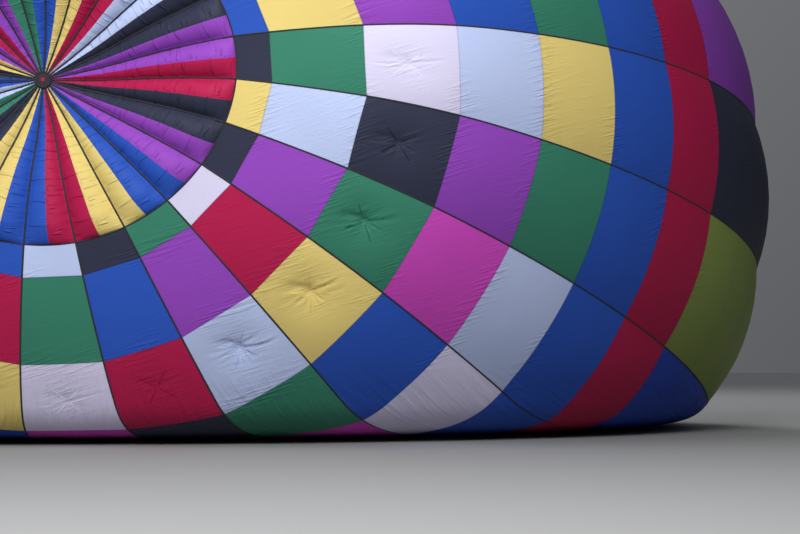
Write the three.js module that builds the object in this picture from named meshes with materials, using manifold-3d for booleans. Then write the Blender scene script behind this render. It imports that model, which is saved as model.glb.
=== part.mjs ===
// A hot air balloon laid out on the ground and partly filled with cold air, with its basket on its side.
// +Z up, millimetres. The crown of the envelope faces -Y and the mouth, burner and basket lie towards +Y.
// The origin is the middle of the envelope's widest ring, where the air carries it.

import * as THREE from 'three';
import { mergeVertices } from 'three/addons/utils/BufferGeometryUtils.js';
import Module from 'manifold-3d';

const wasm = await Module();
wasm.setup();

// Driving dimensions of the envelope, in millimetres and degrees.
const goreCount = 24;
const rowHeight = 1420; // one width of cloth, between two row seams
const shell = 10; // thickness that stands for the cloth
const seat = 0.3; // gap between pieces that touch
const tapeTurn = 9.9; // angle of the first load tape above the horizontal
const ventEdge = 3150; // along the cloth from the crown to the edge of the vent
const ventLap = 300; // how far the parachute reaches under the envelope
const crownHeight = 5860; // middle of the foremost rings above the ground
const crownDrop = 180; // the crown itself hangs this much lower, as its ring is heavy
const ringSquash = 0.775; // height of a ring over its width
const ringSag = 9.3e-6; // a ring's middle sinks by this times its radius squared
const lowerDrop = 0.096; // the foot of a ring hangs this much of its radius lower
const crownLean = 0.222; // a ring's top stands this far forward for its height
const lowerTuck = 34.5e-6; // the foot of a ring lies back by this times its radius squared
const leanStart = 2500; // how far behind the crown the lean begins to fade
const leanFade = 19000;
const groundBlend = 700; // cloth below this height settles on the ground
const billow = 0.06; // how far a gore bulges between its tapes, over its width
const billowRun = 2500; // length over which the bulge grows from either end
const billowFloor = 1500; // below this height the cloth doesn't bulge
const mouthRadius = 2500;
const mouthHeight = 2150; // middle of the mouth above the ground
const skirtLength = 900;
const tapeEnd = 130; // where the load tapes join around the crown
const crownRingInner = 80;
const crownRingReach = 140;
const tapeWidth = 25;
const tapeThick = 6;
const tapeUnder = 1; // the tapes lie this far under the outer face of the gores
const crownFlat = 60; // closer to the crown than this, the cloth faces the same way

// Driving dimensions of the basket and the burner, in millimetres.
const basketLength = 3600; // along X
const basketDepth = 1700; // along Z, as the basket lies on its long side
const basketWall = 45;
const basketRise = 1150; // along Y, from rim to floor
const frameLength = 2000;
const frameDepth = 1200;
const frameTube = 44;
const mouthToFrame = 3300;
const frameToRim = 1000;
const gimbalRadius = 470;
const canRadius = 130;
const canSpread = 158;

const degrees = Math.PI / 180;

// The envelope's profile from crown to mouth is a chain of arcs: each runs for a length of cloth
// and turns from the slope where the last one ended. Slope 0 is flat across the crown.
const profileArcs = [
  { length: 300, to: -4 },
  { length: 1100, to: -25 },
  { length: 1650, to: -12 },
  { length: 1950, to: -4 },
  { length: 1.5 * rowHeight, to: 23 },
  { length: 3.5 * rowHeight, to: 49 },
  { length: 8.5 * rowHeight, to: 128 },
];
const profileStep = 20;
const profile = [{ r: 0, s: 0 }];

function stepAlong(slope) {
  const last = profile[profile.length - 1];
  profile.push({ r: last.r + Math.cos(slope) * profileStep, s: last.s + Math.sin(slope) * profileStep });
}

let slope = 0;
for (const arc of profileArcs) {
  const steps = Math.round(arc.length / profileStep);
  const turn = (arc.to * degrees - slope) / steps;
  for (let i = 0; i < steps; i += 1) stepAlong(slope + turn * (i + 0.5));
  slope = arc.to * degrees;
}
while (profile[profile.length - 1].r > mouthRadius) stepAlong(slope);
const mouthEdge = (profile.length - 1) * profileStep;
for (let run = 0; run < skirtLength + 5 * profileStep; run += profileStep) stepAlong(slope);

const widest = profile.reduce((best, p) => (p.r > best.r ? p : best), profile[0]);
const mouthBack = profile[mouthEdge / profileStep].s;
const ringHeight = (s) => crownHeight - (crownHeight - mouthHeight) * Math.max(0, s / mouthBack) ** 2;
const groundLevel = -ringHeight(widest.s);

function smooth(t) {
  const c = Math.min(1, Math.max(0, t));
  return c * c * (3 - 2 * c);
}

// Radius and distance behind the crown, for a distance along the cloth.
function profileAt(along) {
  const at = Math.min(Math.max(along / profileStep, 0), profile.length - 1.001);
  const i = Math.floor(at);
  const f = at - i;
  const [p, q] = [profile[i], profile[i + 1]];
  return { r: p.r * (1 - f) + q.r * f, s: p.s * (1 - f) + q.s * f };
}

// A point of the envelope's outer face on the load tapes' own surface. Cloth that would hang below
// the ground settles on it.
function envelopePoint(along, angle) {
  const { r, s } = profileAt(along);
  const low = Math.max(0, -Math.sin(angle)) ** 2;
  const rise = ringSquash * r * Math.sin(angle) - ringSag * r * r - lowerDrop * r * low;
  const lean = crownLean * (1 - smooth((s - leanStart) / leanFade));
  const back = s - lean * rise + lowerTuck * r * r * low;
  const height = ringHeight(s) + rise;
  const drop = crownDrop * Math.max(0, 1 - along / ventEdge);
  const above = (height - groundBlend) / groundBlend;
  const settled = above > 0 ? height : groundBlend * Math.exp(above);
  return new THREE.Vector3(r * Math.cos(angle), back - widest.s, settled - drop + groundLevel);
}

function envelopeNormal(along, angle) {
  const reach = 40;
  const turn = 0.004;
  const outward = envelopePoint(along + reach, angle).sub(envelopePoint(Math.max(along - reach, 1), angle));
  const around = envelopePoint(along, angle + turn).sub(envelopePoint(along, angle - turn));
  return outward.cross(around).normalize();
}

function tapeAngle(tape) {
  return (tapeTurn - (tape * 360) / goreCount) * degrees;
}

// A point on the gore that starts at a tape: part runs from 0 at that tape to 1 at the next, and
// offset is the distance out from the cloth. Between tapes the cloth bulges, but not near the ground.
function gorePoint(along, tape, part, offset) {
  const angle = tapeAngle(tape + part);
  const point = envelopePoint(along, angle);
  const normal = envelopeNormal(Math.max(along, crownFlat), angle);
  const width = (2 * Math.PI * profileAt(along).r) / goreCount;
  const grow = smooth((along - ventEdge - ventLap) / billowRun) * smooth((mouthEdge - along) / billowRun);
  const free = smooth((point.z - groundLevel) / billowFloor);
  const bulge = billow * width * grow * free * 4 * part * (1 - part);
  return point.addScaledVector(normal, bulge + offset);
}

function meshFrom(name, positions, triangles, finish) {
  const geometry = new THREE.BufferGeometry();
  const numbers = positions.flatMap((p) => p.toArray());
  geometry.setAttribute('position', new THREE.Float32BufferAttribute(numbers, 3));
  geometry.setIndex(triangles);
  return namedMesh(name, geometry, finish);
}

function namedMesh(name, geometry, finish) {
  const mesh = new THREE.Mesh(geometry, new THREE.MeshStandardMaterial(finish));
  mesh.name = name;
  return mesh;
}

// A closed shell between an outer and an inner grid of points. Rows run along the cloth and
// columns around it, and wrap joins the last column to the first.
function shellMesh(name, outer, inner, wrap, finish) {
  const rows = outer.length;
  const columns = outer[0].length;
  const positions = [...outer.flat(), ...inner.flat()];
  const top = (u, v) => u * columns + (v % columns);
  const bottom = (u, v) => rows * columns + u * columns + (v % columns);
  const triangles = [];
  const spans = wrap ? columns : columns - 1;
  for (let u = 0; u < rows - 1; u += 1) {
    for (let v = 0; v < spans; v += 1) {
      triangles.push(top(u, v), top(u, v + 1), top(u + 1, v + 1));
      triangles.push(top(u, v), top(u + 1, v + 1), top(u + 1, v));
      triangles.push(bottom(u, v), bottom(u + 1, v + 1), bottom(u, v + 1));
      triangles.push(bottom(u, v), bottom(u + 1, v), bottom(u + 1, v + 1));
    }
  }
  for (let v = 0; v < spans; v += 1) {
    const u = rows - 1;
    triangles.push(top(0, v), bottom(0, v), bottom(0, v + 1), top(0, v), bottom(0, v + 1), top(0, v + 1));
    triangles.push(top(u, v), bottom(u, v + 1), bottom(u, v), top(u, v), top(u, v + 1), bottom(u, v + 1));
  }
  if (!wrap) {
    const v = columns - 1;
    for (let u = 0; u < rows - 1; u += 1) {
      triangles.push(top(u, 0), bottom(u + 1, 0), bottom(u, 0), top(u, 0), top(u + 1, 0), bottom(u + 1, 0));
      triangles.push(top(u, v), bottom(u, v), bottom(u + 1, v), top(u, v), bottom(u + 1, v), top(u + 1, v));
    }
  }
  return meshFrom(name, positions, triangles, finish);
}

const cloth = (color) => ({ color, roughness: 0.6, metalness: 0, side: THREE.DoubleSide });
const goreColours = [0x2f55a8, 0x3a4a70, 0xa8a060, 0x7c3ba0, 0xc8c4d8, 0x35406a, 0x44506e, 0x3f7f78];

// Envelope gores: 24 long panels from the vent edge to the mouth, one between each two load tapes.
const goreStations = 14;
const goreSpans = 4;
const goreRows = [ventEdge];
for (let i = 0; i < goreStations; i += 1) {
  goreRows.push(ventEdge + ventLap + ((mouthEdge - ventEdge - ventLap) * i) / (goreStations - 1));
}

function makeGore(index) {
  const faces = [0, -shell].map((offset) =>
    goreRows.map((along) => {
      const row = [];
      for (let v = 0; v <= goreSpans; v += 1) row.push(gorePoint(along, index, v / goreSpans, offset));
      const across = row[goreSpans].clone().sub(row[0]).normalize();
      row[0].addScaledVector(across, seat / 2);
      row[goreSpans].addScaledVector(across, -seat / 2);
      return row;
    }),
  );
  const name = `gore_${String(index + 1).padStart(2, '0')}`;
  return shellMesh(name, faces[0], faces[1], false, cloth(goreColours[index % goreColours.length]));
}

const crownStations = [185, 700, 1400, 2200]; // where the crown's curve is broken into flats

// Parachute vent: one round panel inside the hole at the crown, lapping under the gores.
function makeVent() {
  const radii = [tapeEnd, ...crownStations, ventEdge, ventEdge + ventLap];
  const count = goreCount * goreSpans;
  const ring = (along, offset) => {
    const points = [];
    for (let k = 0; k < count; k += 1) {
      points.push(gorePoint(along, Math.floor(k / goreSpans), (k % goreSpans) / goreSpans, offset));
    }
    return points;
  };
  const positions = [];
  const triangles = [];
  const offsets = [-shell - seat, -2 * shell - seat];
  offsets.forEach((offset, side) => {
    const start = positions.length;
    radii.forEach((along) => positions.push(...ring(along, offset)));
    const middle = positions.length;
    positions.push(gorePoint(0, 0, 0, offset));
    const add = (a, b, c) => (side === 0 ? triangles.push(a, b, c) : triangles.push(a, c, b));
    for (let k = 0; k < count; k += 1) {
      const next = (k + 1) % count;
      add(middle, start + next, start + k);
      for (let u = 0; u < radii.length - 1; u += 1) {
        const a = start + u * count;
        const b = a + count;
        add(a + k, a + next, b + next);
        add(a + k, b + next, b + k);
      }
    }
  });
  const layer = radii.length * count + 1;
  const edge = (radii.length - 1) * count;
  for (let k = 0; k < count; k += 1) {
    const next = (k + 1) % count;
    triangles.push(edge + k, edge + layer + next, edge + layer + k);
    triangles.push(edge + k, edge + next, edge + layer + next);
  }
  return meshFrom('parachute_vent', positions, triangles, cloth(0x7c3ba0));
}

// Crown tapes: the load tapes' ends, which cross over the vent and meet at the crown ring.
function makeCrownTapes() {
  const stations = [tapeEnd, ...crownStations, ventEdge - seat];
  const positions = [];
  const triangles = [];
  const index = (tape, side, u, layer) => ((tape * 2 + side) * stations.length + u) * 2 + layer;
  for (let tape = 0; tape < goreCount; tape += 1) {
    for (const side of [-1, 1]) {
      for (const along of stations) {
        for (const offset of [-tapeUnder, -tapeUnder - tapeThick]) {
          const point = gorePoint(along, tape, 0, offset);
          const across = gorePoint(along, tape + side / goreSpans, 0, offset).sub(point).normalize();
          positions.push(point.addScaledVector(across, tapeWidth / 2));
        }
      }
    }
  }
  for (let tape = 0; tape < goreCount; tape += 1) {
    const next = (tape + 1) % goreCount;
    const last = stations.length - 1;
    const quad = (a, b, c, d) => triangles.push(a, b, c, a, c, d);
    for (let u = 0; u < last; u += 1) {
      const corner = (side, step, layer) => index(tape, side, u + step, layer);
      quad(corner(0, 0, 0), corner(1, 0, 0), corner(1, 1, 0), corner(0, 1, 0));
      quad(corner(0, 0, 1), corner(0, 1, 1), corner(1, 1, 1), corner(1, 0, 1));
      if (u > 0) {
        quad(corner(0, 0, 0), corner(0, 1, 0), corner(0, 1, 1), corner(0, 0, 1));
        quad(corner(1, 0, 0), corner(1, 0, 1), corner(1, 1, 1), corner(1, 1, 0));
      }
    }
    quad(index(tape, 0, last, 0), index(tape, 1, last, 0), index(tape, 1, last, 1), index(tape, 0, last, 1));
    const a = (u, layer) => index(tape, 1, u, layer);
    const b = (u, layer) => index(next, 0, u, layer);
    quad(a(0, 0), b(0, 0), b(1, 0), a(1, 0));
    quad(a(0, 1), a(1, 1), b(1, 1), b(0, 1));
    quad(a(1, 0), b(1, 0), b(1, 1), a(1, 1));
    quad(a(0, 0), a(0, 1), b(0, 1), b(0, 0));
    quad(index(tape, 0, 0, 0), index(tape, 0, 0, 1), index(tape, 1, 0, 1), index(tape, 1, 0, 0));
  }
  return meshFrom('crown_tapes', positions, triangles, { color: 0x16161a, roughness: 0.7, metalness: 0 });
}

// Crown ring: the flat metal ring that gathers the load tapes, lying on their ends.
const crownRingThick = 14;

function makeCrownRing() {
  const outline = [
    [crownRingInner, 0],
    [crownRingReach, 0],
    [crownRingReach, crownRingThick],
    [crownRingInner, crownRingThick],
    [crownRingInner, 0],
  ].map(([x, y]) => new THREE.Vector2(x, y));
  const mesh = namedMesh('crown_ring', new THREE.LatheGeometry(outline, 48), {
    color: 0x9a9ca0,
    roughness: 0.35,
    metalness: 1,
  });
  const tapeTop = (tape) => {
    const start = gorePoint(tapeEnd, tape, 0, -tapeUnder);
    const reach = (crownRingReach / ringSquash - tapeEnd) / (crownStations[0] - tapeEnd);
    return start.lerp(gorePoint(crownStations[0], tape, 0, -tapeUnder), reach);
  };
  const quarter = goreCount / 4;
  const across = tapeTop(0).sub(tapeTop(2 * quarter));
  const upward = tapeTop(3 * quarter).sub(tapeTop(quarter));
  const normal = across.cross(upward).normalize();
  const middle = envelopePoint(0, 0);
  let lift = 0;
  for (let tape = 0; tape < goreCount; tape += 1) {
    lift = Math.max(lift, tapeTop(tape).sub(middle).dot(normal));
  }
  mesh.quaternion.setFromUnitVectors(new THREE.Vector3(0, 1, 0), normal);
  mesh.position.copy(middle).addScaledVector(normal, lift);
  return mesh;
}

// Skirt: the short flameproof collar sewn to the mouth.
function makeSkirt() {
  const count = goreCount * goreSpans;
  const faces = [0, -shell].map((offset) =>
    [mouthEdge + seat, mouthEdge + skirtLength].map((along) => {
      const row = [];
      for (let k = 0; k < count; k += 1) {
        row.push(gorePoint(along, Math.floor(k / goreSpans), (k % goreSpans) / goreSpans, offset));
      }
      return row;
    }),
  );
  const finish = { color: 0x2a2b30, roughness: 0.8, metalness: 0 };
  return shellMesh('mouth_skirt', faces[0], faces[1], true, finish);
}

function solidOf(geometry) {
  const bare = geometry.clone();
  bare.deleteAttribute('normal');
  bare.deleteAttribute('uv');
  const merged = mergeVertices(bare, 0.001);
  return new wasm.Manifold(
    new wasm.Mesh({
      numProp: 3,
      vertProperties: new Float32Array(merged.attributes.position.array),
      triVerts: new Uint32Array(merged.index.array),
    }),
  );
}

function meshOfSolid(name, solid, finish) {
  const { vertProperties, triVerts } = solid.getMesh();
  const geometry = new THREE.BufferGeometry();
  geometry.setAttribute('position', new THREE.BufferAttribute(new Float32Array(vertProperties), 3));
  geometry.setIndex(new THREE.BufferAttribute(new Uint32Array(triVerts), 1));
  return namedMesh(name, geometry, finish);
}

function joined(name, geometries, finish) {
  const solid = geometries.map(solidOf).reduce((sum, next) => sum.add(next));
  return meshOfSolid(name, solid, finish);
}

// A round bar between two points. Its ends are square to the bar.
function bar(from, to, radius, sides) {
  const geometry = new THREE.CylinderGeometry(radius, radius, from.distanceTo(to), sides);
  const turn = new THREE.Quaternion().setFromUnitVectors(
    new THREE.Vector3(0, 1, 0),
    to.clone().sub(from).normalize(),
  );
  geometry.applyQuaternion(turn);
  const middle = from.clone().add(to).multiplyScalar(0.5);
  return geometry.translate(middle.x, middle.y, middle.z);
}

function block(size, middle) {
  return new THREE.BoxGeometry(...size).translate(...middle);
}

// Places along the balloon behind the mouth, and the height of the basket's middle.
const mouthY = mouthBack - widest.s;
const frameY = mouthY + mouthToFrame;
const rimY = frameY + frameToRim;
const floorY = rimY + basketRise;
const basketZ = groundLevel + basketDepth / 2;

function roundedOutline(width, depth, corner) {
  const x = width / 2;
  const y = depth / 2;
  const shape = new THREE.Shape();
  shape.moveTo(-x + corner, -y);
  shape.lineTo(x - corner, -y).absarc(x - corner, -y + corner, corner, -Math.PI / 2, 0);
  shape.lineTo(x, y - corner).absarc(x - corner, y - corner, corner, 0, Math.PI / 2);
  shape.lineTo(-x + corner, y).absarc(-x + corner, y - corner, corner, Math.PI / 2, Math.PI);
  shape.lineTo(-x, -y + corner).absarc(-x + corner, -y + corner, corner, Math.PI, 1.5 * Math.PI);
  return shape;
}

// A flat outline in the XZ plane with a thickness along Y, from one Y to another.
function plate(outline, fromY, toY) {
  const geometry = new THREE.ExtrudeGeometry(outline, {
    depth: toY - fromY,
    bevelEnabled: false,
    curveSegments: 5,
  });
  return geometry.rotateX(Math.PI / 2).translate(0, toY, basketZ);
}

function ringPlate(outer, inner, corner, fromY, toY) {
  const outline = roundedOutline(outer[0], outer[1], corner);
  outline.holes.push(roundedOutline(inner[0], inner[1], corner - (outer[0] - inner[0]) / 2));
  return plate(outline, fromY, toY);
}

const steel = { color: 0xb4b6ba, roughness: 0.3, metalness: 1 };
const wicker = { color: 0xb07a45, roughness: 0.85, metalness: 0 };

// Burner frame: a flat rectangular frame with rounded corners that carries basket, burner and wires.
const frameFront = frameY - frameTube / 2;
const frameBack = frameY + frameTube / 2;
const frameCorner = 140;

function makeBurnerFrame() {
  const inner = [frameLength - 2 * frameTube, frameDepth - 2 * frameTube];
  const frame = ringPlate([frameLength, frameDepth], inner, frameCorner, frameFront, frameBack);
  return namedMesh('burner_frame', frame, steel);
}

// Flying wires: six from each quarter of the mouth, gathered at one shackle on a corner of the frame.
const wireRadius = 5;
const wireHold = 110; // how far the wires reach back over the mouth's edge
const wireClear = 1.3; // keeps the square end of a wire just off the cloth
const shackleLength = 90;
const shackleWidth = 40;
const shackleInset = 60; // from the sides of the frame
const wiresPerCorner = goreCount / 4;
const corners = [
  { firstTape: 19, x: 1, z: 1 },
  { firstTape: 1, x: 1, z: -1 },
  { firstTape: 7, x: -1, z: -1 },
  { firstTape: 13, x: -1, z: 1 },
];

function makeFlyingWires(corner, index) {
  const gather = new THREE.Vector3(
    corner.x * (frameLength / 2 - shackleInset),
    frameFront - seat - shackleLength / 2,
    basketZ + corner.z * (frameDepth / 2 - shackleInset),
  );
  const pieces = [block([shackleWidth, shackleLength, shackleWidth], gather.toArray())];
  for (let i = 0; i < wiresPerCorner; i += 1) {
    const start = gorePoint(mouthEdge - wireHold, corner.firstTape + i, 0, wireRadius + wireClear);
    pieces.push(bar(start, gather, wireRadius, 5));
  }
  return joined(`flying_wires_${index + 1}`, pieces, steel);
}

// Gimbal ring: turns about the vertical pins in the burner frame.
const pinRadius = 14;
const ringTube = 22;
const ringSides = 40;

function makeGimbalRing() {
  const outline = [
    [gimbalRadius - ringTube, -ringTube],
    [gimbalRadius + ringTube, -ringTube],
    [gimbalRadius + ringTube, ringTube],
    [gimbalRadius - ringTube, ringTube],
    [gimbalRadius - ringTube, -ringTube],
  ].map(([x, y]) => new THREE.Vector2(x, y));
  const hoop = new THREE.LatheGeometry(outline, ringSides).rotateY(Math.PI / ringSides);
  const pieces = [hoop.translate(0, frameY, basketZ)];
  for (const side of [-1, 1]) {
    const inner = new THREE.Vector3(0, frameY, basketZ + side * gimbalRadius);
    const outer = new THREE.Vector3(0, frameY, basketZ + side * (frameDepth / 2 - frameTube - seat));
    pieces.push(bar(inner, outer, pinRadius, 12));
  }
  return joined('gimbal_ring', pieces, steel);
}

// Burner: four open cans on one block, hung in the gimbal ring on two level pins.
const canFront = -330;
const canBack = 90;
const canWall = 6;
const canFloor = 30;
const blockSize = 480;
const blockThick = 70;
const blockLap = 10; // the cans stand this far in the block
const beamLength = 560;
const beamWidth = 36;
const burnerPinReach = (gimbalRadius - ringTube) * Math.cos(Math.PI / ringSides) - seat;

function makeBurner() {
  const outline = [
    [0, canBack - canFloor],
    [canRadius - canWall, canBack - canFloor],
    [canRadius - canWall, canFront],
    [canRadius, canFront],
    [canRadius, canBack],
    [0, canBack],
  ].map(([x, y]) => new THREE.Vector2(x, y));
  const pin = new THREE.Vector3(burnerPinReach, 0, 0);
  const middle = new THREE.Vector3(0, frameY, basketZ);
  const beamPlace = [0, frameY + canBack / 2, basketZ];
  const blockPlace = [0, frameY + canBack - blockLap + blockThick / 2, basketZ];
  const pieces = [
    block([beamWidth, canBack + 2 * blockLap, 2 * canSpread], beamPlace),
    block([beamLength, canBack + 2 * blockLap, beamWidth], beamPlace),
    block([blockSize, blockThick, blockSize], blockPlace),
    bar(middle.clone().sub(pin), middle.clone().add(pin), pinRadius, 12),
  ];
  for (const x of [-1, 1]) {
    for (const z of [-1, 1]) {
      const can = new THREE.LatheGeometry(outline, 24);
      pieces.push(can.translate(x * canSpread, frameY, basketZ + z * canSpread));
    }
  }
  return joined('burner', pieces, { color: 0xc4c6c8, roughness: 0.25, metalness: 1 });
}

// Uprights: four padded rods from the corners of the frame to the corners of the basket's rim.
const uprightRadius = 22;
const uprightTop = 50; // from the sides of the frame
const uprightFoot = 110; // from the sides of the basket

function makeUpright(corner, index) {
  const length = frameToRim - frameTube / 2 - 2 * seat;
  const from = {
    x: corner.x * (frameLength / 2 - uprightTop),
    z: corner.z * (frameDepth / 2 - uprightTop),
  };
  const to = {
    x: corner.x * (basketLength / 2 - uprightFoot),
    z: corner.z * (basketDepth / 2 - uprightFoot),
  };
  const geometry = new THREE.CylinderGeometry(uprightRadius, uprightRadius, length, 12);
  const position = geometry.attributes.position;
  for (let i = 0; i < position.count; i += 1) {
    const t = position.getY(i) / length + 0.5;
    position.setX(i, position.getX(i) + from.x + (to.x - from.x) * t);
    position.setZ(i, position.getZ(i) + from.z + (to.z - from.z) * t);
  }
  geometry.translate(0, frameBack + seat + length / 2, basketZ);
  return namedMesh(`upright_${index + 1}`, geometry, { color: 0x3a3a40, roughness: 0.8, metalness: 0 });
}

// Basket: woven walls between a padded rim and a floor board on three runners.
const rimThick = 80;
const rimPad = 30; // the padding stands this far inside the walls
const floorThick = 20;
const runnerThick = 45;
const runnerWidth = 70;
const runnerSpacing = 1350;
const basketCorner = 160;
const innerLength = basketLength - 2 * basketWall;
const innerDepth = basketDepth - 2 * basketWall;

function makeRim() {
  const inner = [innerLength - 2 * rimPad, innerDepth - 2 * rimPad];
  const rim = ringPlate([basketLength, basketDepth], inner, basketCorner, rimY, rimY + rimThick);
  return namedMesh('basket_rim', rim, { color: 0x6b4a2e, roughness: 0.8, metalness: 0 });
}

function makeBasketWall() {
  const wall = ringPlate(
    [basketLength, basketDepth],
    [innerLength, innerDepth],
    basketCorner,
    rimY + rimThick + seat,
    floorY - seat,
  );
  return namedMesh('basket_wall', wall, wicker);
}

function makeFloor() {
  const board = plate(roundedOutline(basketLength, basketDepth, basketCorner), floorY, floorY + floorThick);
  return namedMesh('basket_floor', board, { color: 0xa98b5e, roughness: 0.7, metalness: 0 });
}

function makeRunner(x, index) {
  const size = [runnerWidth, runnerThick, basketDepth - 2 * basketCorner];
  const geometry = block(size, [x, floorY + floorThick + seat + runnerThick / 2, basketZ]);
  return namedMesh(`runner_${index + 1}`, geometry, { color: 0x8f6f45, roughness: 0.7, metalness: 0 });
}

// Partitions: a T of woven walls at each end, with the pilot's place between them.
const partitionX = 620;
const partitionWall = 36;
const partitionDrop = 60; // below the rim

function makePartition(side, index) {
  const fromY = rimY + rimThick + partitionDrop;
  const middleY = (fromY + floorY - seat) / 2;
  const lengthY = floorY - seat - fromY;
  const crossX = side * (partitionX + partitionWall / 2);
  const reach = innerLength / 2 - seat - partitionX;
  const pieces = [
    block([partitionWall, lengthY, innerDepth - 2 * seat], [crossX, middleY, basketZ]),
    block([reach, lengthY, partitionWall], [side * (partitionX + reach / 2), middleY, basketZ]),
  ];
  return joined(`partition_${index + 1}`, pieces, wicker);
}

// Fuel cylinders: four upright in the pilot's place, standing on the floor board.
const cylinderRadius = 185;
const cylinderHeight = 800;
const cylinderFoot = 20; // how far the foot stands in from the side
const collarRadius = 115;
const collarHeight = 90;
const shoulder = 70;
const cylinderPlace = { x: 390, z: 590 };

function makeCylinder(x, z, index) {
  const collarStart = cylinderHeight - collarHeight;
  const outline = [
    [0, 0],
    [cylinderRadius - cylinderFoot, 0],
    [cylinderRadius - cylinderFoot, 2 * cylinderFoot],
    [cylinderRadius, 4 * cylinderFoot],
    [cylinderRadius, collarStart - 1.4 * shoulder],
    [(cylinderRadius + collarRadius) / 2 + cylinderFoot / 2, collarStart - shoulder / 2],
    [collarRadius, collarStart],
    [collarRadius, cylinderHeight],
    [0, cylinderHeight],
  ].map(([r, y]) => new THREE.Vector2(r, y));
  const geometry = new THREE.LatheGeometry(outline, 24).rotateX(Math.PI);
  geometry.translate(x * cylinderPlace.x, floorY - seat, basketZ + z * cylinderPlace.z);
  return namedMesh(`fuel_cylinder_${index + 1}`, geometry, steel);
}

const balloon = new THREE.Group();
for (let i = 0; i < goreCount; i += 1) balloon.add(makeGore(i));
balloon.add(makeVent(), makeCrownTapes(), makeCrownRing(), makeSkirt());
corners.forEach((corner, i) => balloon.add(makeFlyingWires(corner, i), makeUpright(corner, i)));
balloon.add(makeBurnerFrame(), makeGimbalRing(), makeBurner());
balloon.add(makeRim(), makeBasketWall(), makeFloor());
[-1, 0, 1].forEach((step, i) => balloon.add(makeRunner(step * runnerSpacing, i)));
[-1, 1].forEach((side, i) => balloon.add(makePartition(side, i)));
corners.forEach((corner, i) => balloon.add(makeCylinder(corner.x, corner.z, i)));

export default balloon;
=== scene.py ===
from math import atan, copysign, cos, pi, radians, sin
import bpy
import numpy as np
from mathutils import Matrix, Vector


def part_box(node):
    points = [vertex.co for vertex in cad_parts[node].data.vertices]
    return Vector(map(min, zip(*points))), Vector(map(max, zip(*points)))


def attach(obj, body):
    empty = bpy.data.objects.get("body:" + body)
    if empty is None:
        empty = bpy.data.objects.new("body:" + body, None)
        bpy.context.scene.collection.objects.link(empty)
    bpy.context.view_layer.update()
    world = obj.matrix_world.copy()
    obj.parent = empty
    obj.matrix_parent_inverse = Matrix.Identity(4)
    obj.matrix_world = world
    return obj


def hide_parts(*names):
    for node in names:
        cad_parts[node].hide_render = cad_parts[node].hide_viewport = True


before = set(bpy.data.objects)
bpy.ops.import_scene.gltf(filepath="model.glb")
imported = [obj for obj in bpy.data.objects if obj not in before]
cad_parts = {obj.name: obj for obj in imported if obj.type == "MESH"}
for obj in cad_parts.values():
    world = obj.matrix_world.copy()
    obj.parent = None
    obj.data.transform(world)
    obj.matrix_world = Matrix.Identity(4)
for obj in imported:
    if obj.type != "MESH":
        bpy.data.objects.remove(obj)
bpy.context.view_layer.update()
bpy.ops.object.select_all(action="DESELECT")

# View, floor and light. The camera stands low in front of the crown, at eye height on the field.
# The floor is plain and pale, and a soft sky and three broad lamps light the balloon.
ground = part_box("basket_wall")[0].z
picture_width = 800
picture_middle_row = 267
horizon_row = 367.15
lens_in_pixels = 1472.75
eye = Vector((4.759, -30.432, ground + 1.275))
aim_right = 0.0322
aim_up = atan((horizon_row - picture_middle_row) / lens_in_pixels)
bpy.ops.object.camera_add(location=eye, rotation=(pi / 2 + aim_up, 0, -aim_right))
camera = bpy.context.object
camera.data.sensor_width = 36
camera.data.lens = camera.data.sensor_width * lens_in_pixels / picture_width
camera.data.clip_end = 2000
bpy.context.scene.camera = camera
bpy.context.scene.view_settings.view_transform = "Standard"


class Finish:
    """The nodes of a material or of the sky. A call that adds a node gives back what comes out of it.
    The shader's own inputs are given by name, with _ for a space."""

    def __init__(self, name, blocks=bpy.data.materials, shader="Principled BSDF", **inputs):
        self.block = blocks.new(name)
        self.block.use_nodes = True
        self.tree = self.block.node_tree
        self.shader = self.tree.nodes[shader]
        self.place = self.add("TexCoord")
        self.here = self.place["Object"]
        self.cut = self.place["UV"]
        self.lead(**inputs)

    def feed(self, node, socket, value):
        if isinstance(value, bpy.types.NodeSocket):
            self.tree.links.new(value, node.inputs[socket])
        else:
            node.inputs[socket].default_value = value

    def lead(self, **inputs):
        for name, value in inputs.items():
            self.feed(self.shader, name.replace("_", " "), value)
        return self.block

    def add(self, kind, ins=None, **settings):
        made = self.tree.nodes.new("ShaderNode" + kind)
        for name, value in settings.items():
            setattr(made, name, value)
        for socket, value in (ins or {}).items():
            self.feed(made, socket, value)
        return made.outputs

    def reckon(self, operation, *values):
        return self.add("Math", dict(enumerate(values)), operation=operation)[0]

    def times(self, a, b):
        return self.reckon("MULTIPLY", a, b)

    def spread(self, value, low, high, start=0, end=1):
        """Goes from start to end while the value goes from low to high, and no further."""
        return self.add("MapRange", {0: value, 1: low, 2: high, 3: start, 4: end})[0]

    def noise(self, at, scale, detail, distortion=0, turn=(0, 0, 0), fit="POINT"):
        """Noise of one scale, or drawn out by a scale for each axis."""
        if isinstance(scale, tuple):
            at = self.add("Mapping", {"Vector": at, "Rotation": turn, "Scale": scale}, vector_type=fit)[0]
            scale = 1
        ins = {"Vector": at, "Scale": scale, "Detail": detail, "Distortion": distortion}
        return self.add("TexNoise", ins)[0]

    def waves(self, at, scale, way, distortion=0):
        ins = {"Vector": at, "Scale": scale, "Distortion": distortion}
        return self.add("TexWave", ins, bands_direction=way)[1]

    def mixed(self, share, *colours):
        first, second = ((*c, 1) if isinstance(c, tuple) else c for c in colours)
        return self.add("Mix", {0: share, 6: first, 7: second}, data_type="RGBA")[2]

    def bumped(self, strength, distance, height, under=None):
        ins = {"Strength": strength, "Distance": distance, "Height": height}
        if under is not None:
            ins["Normal"] = under
        return self.add("Bump", ins)[0]


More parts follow.
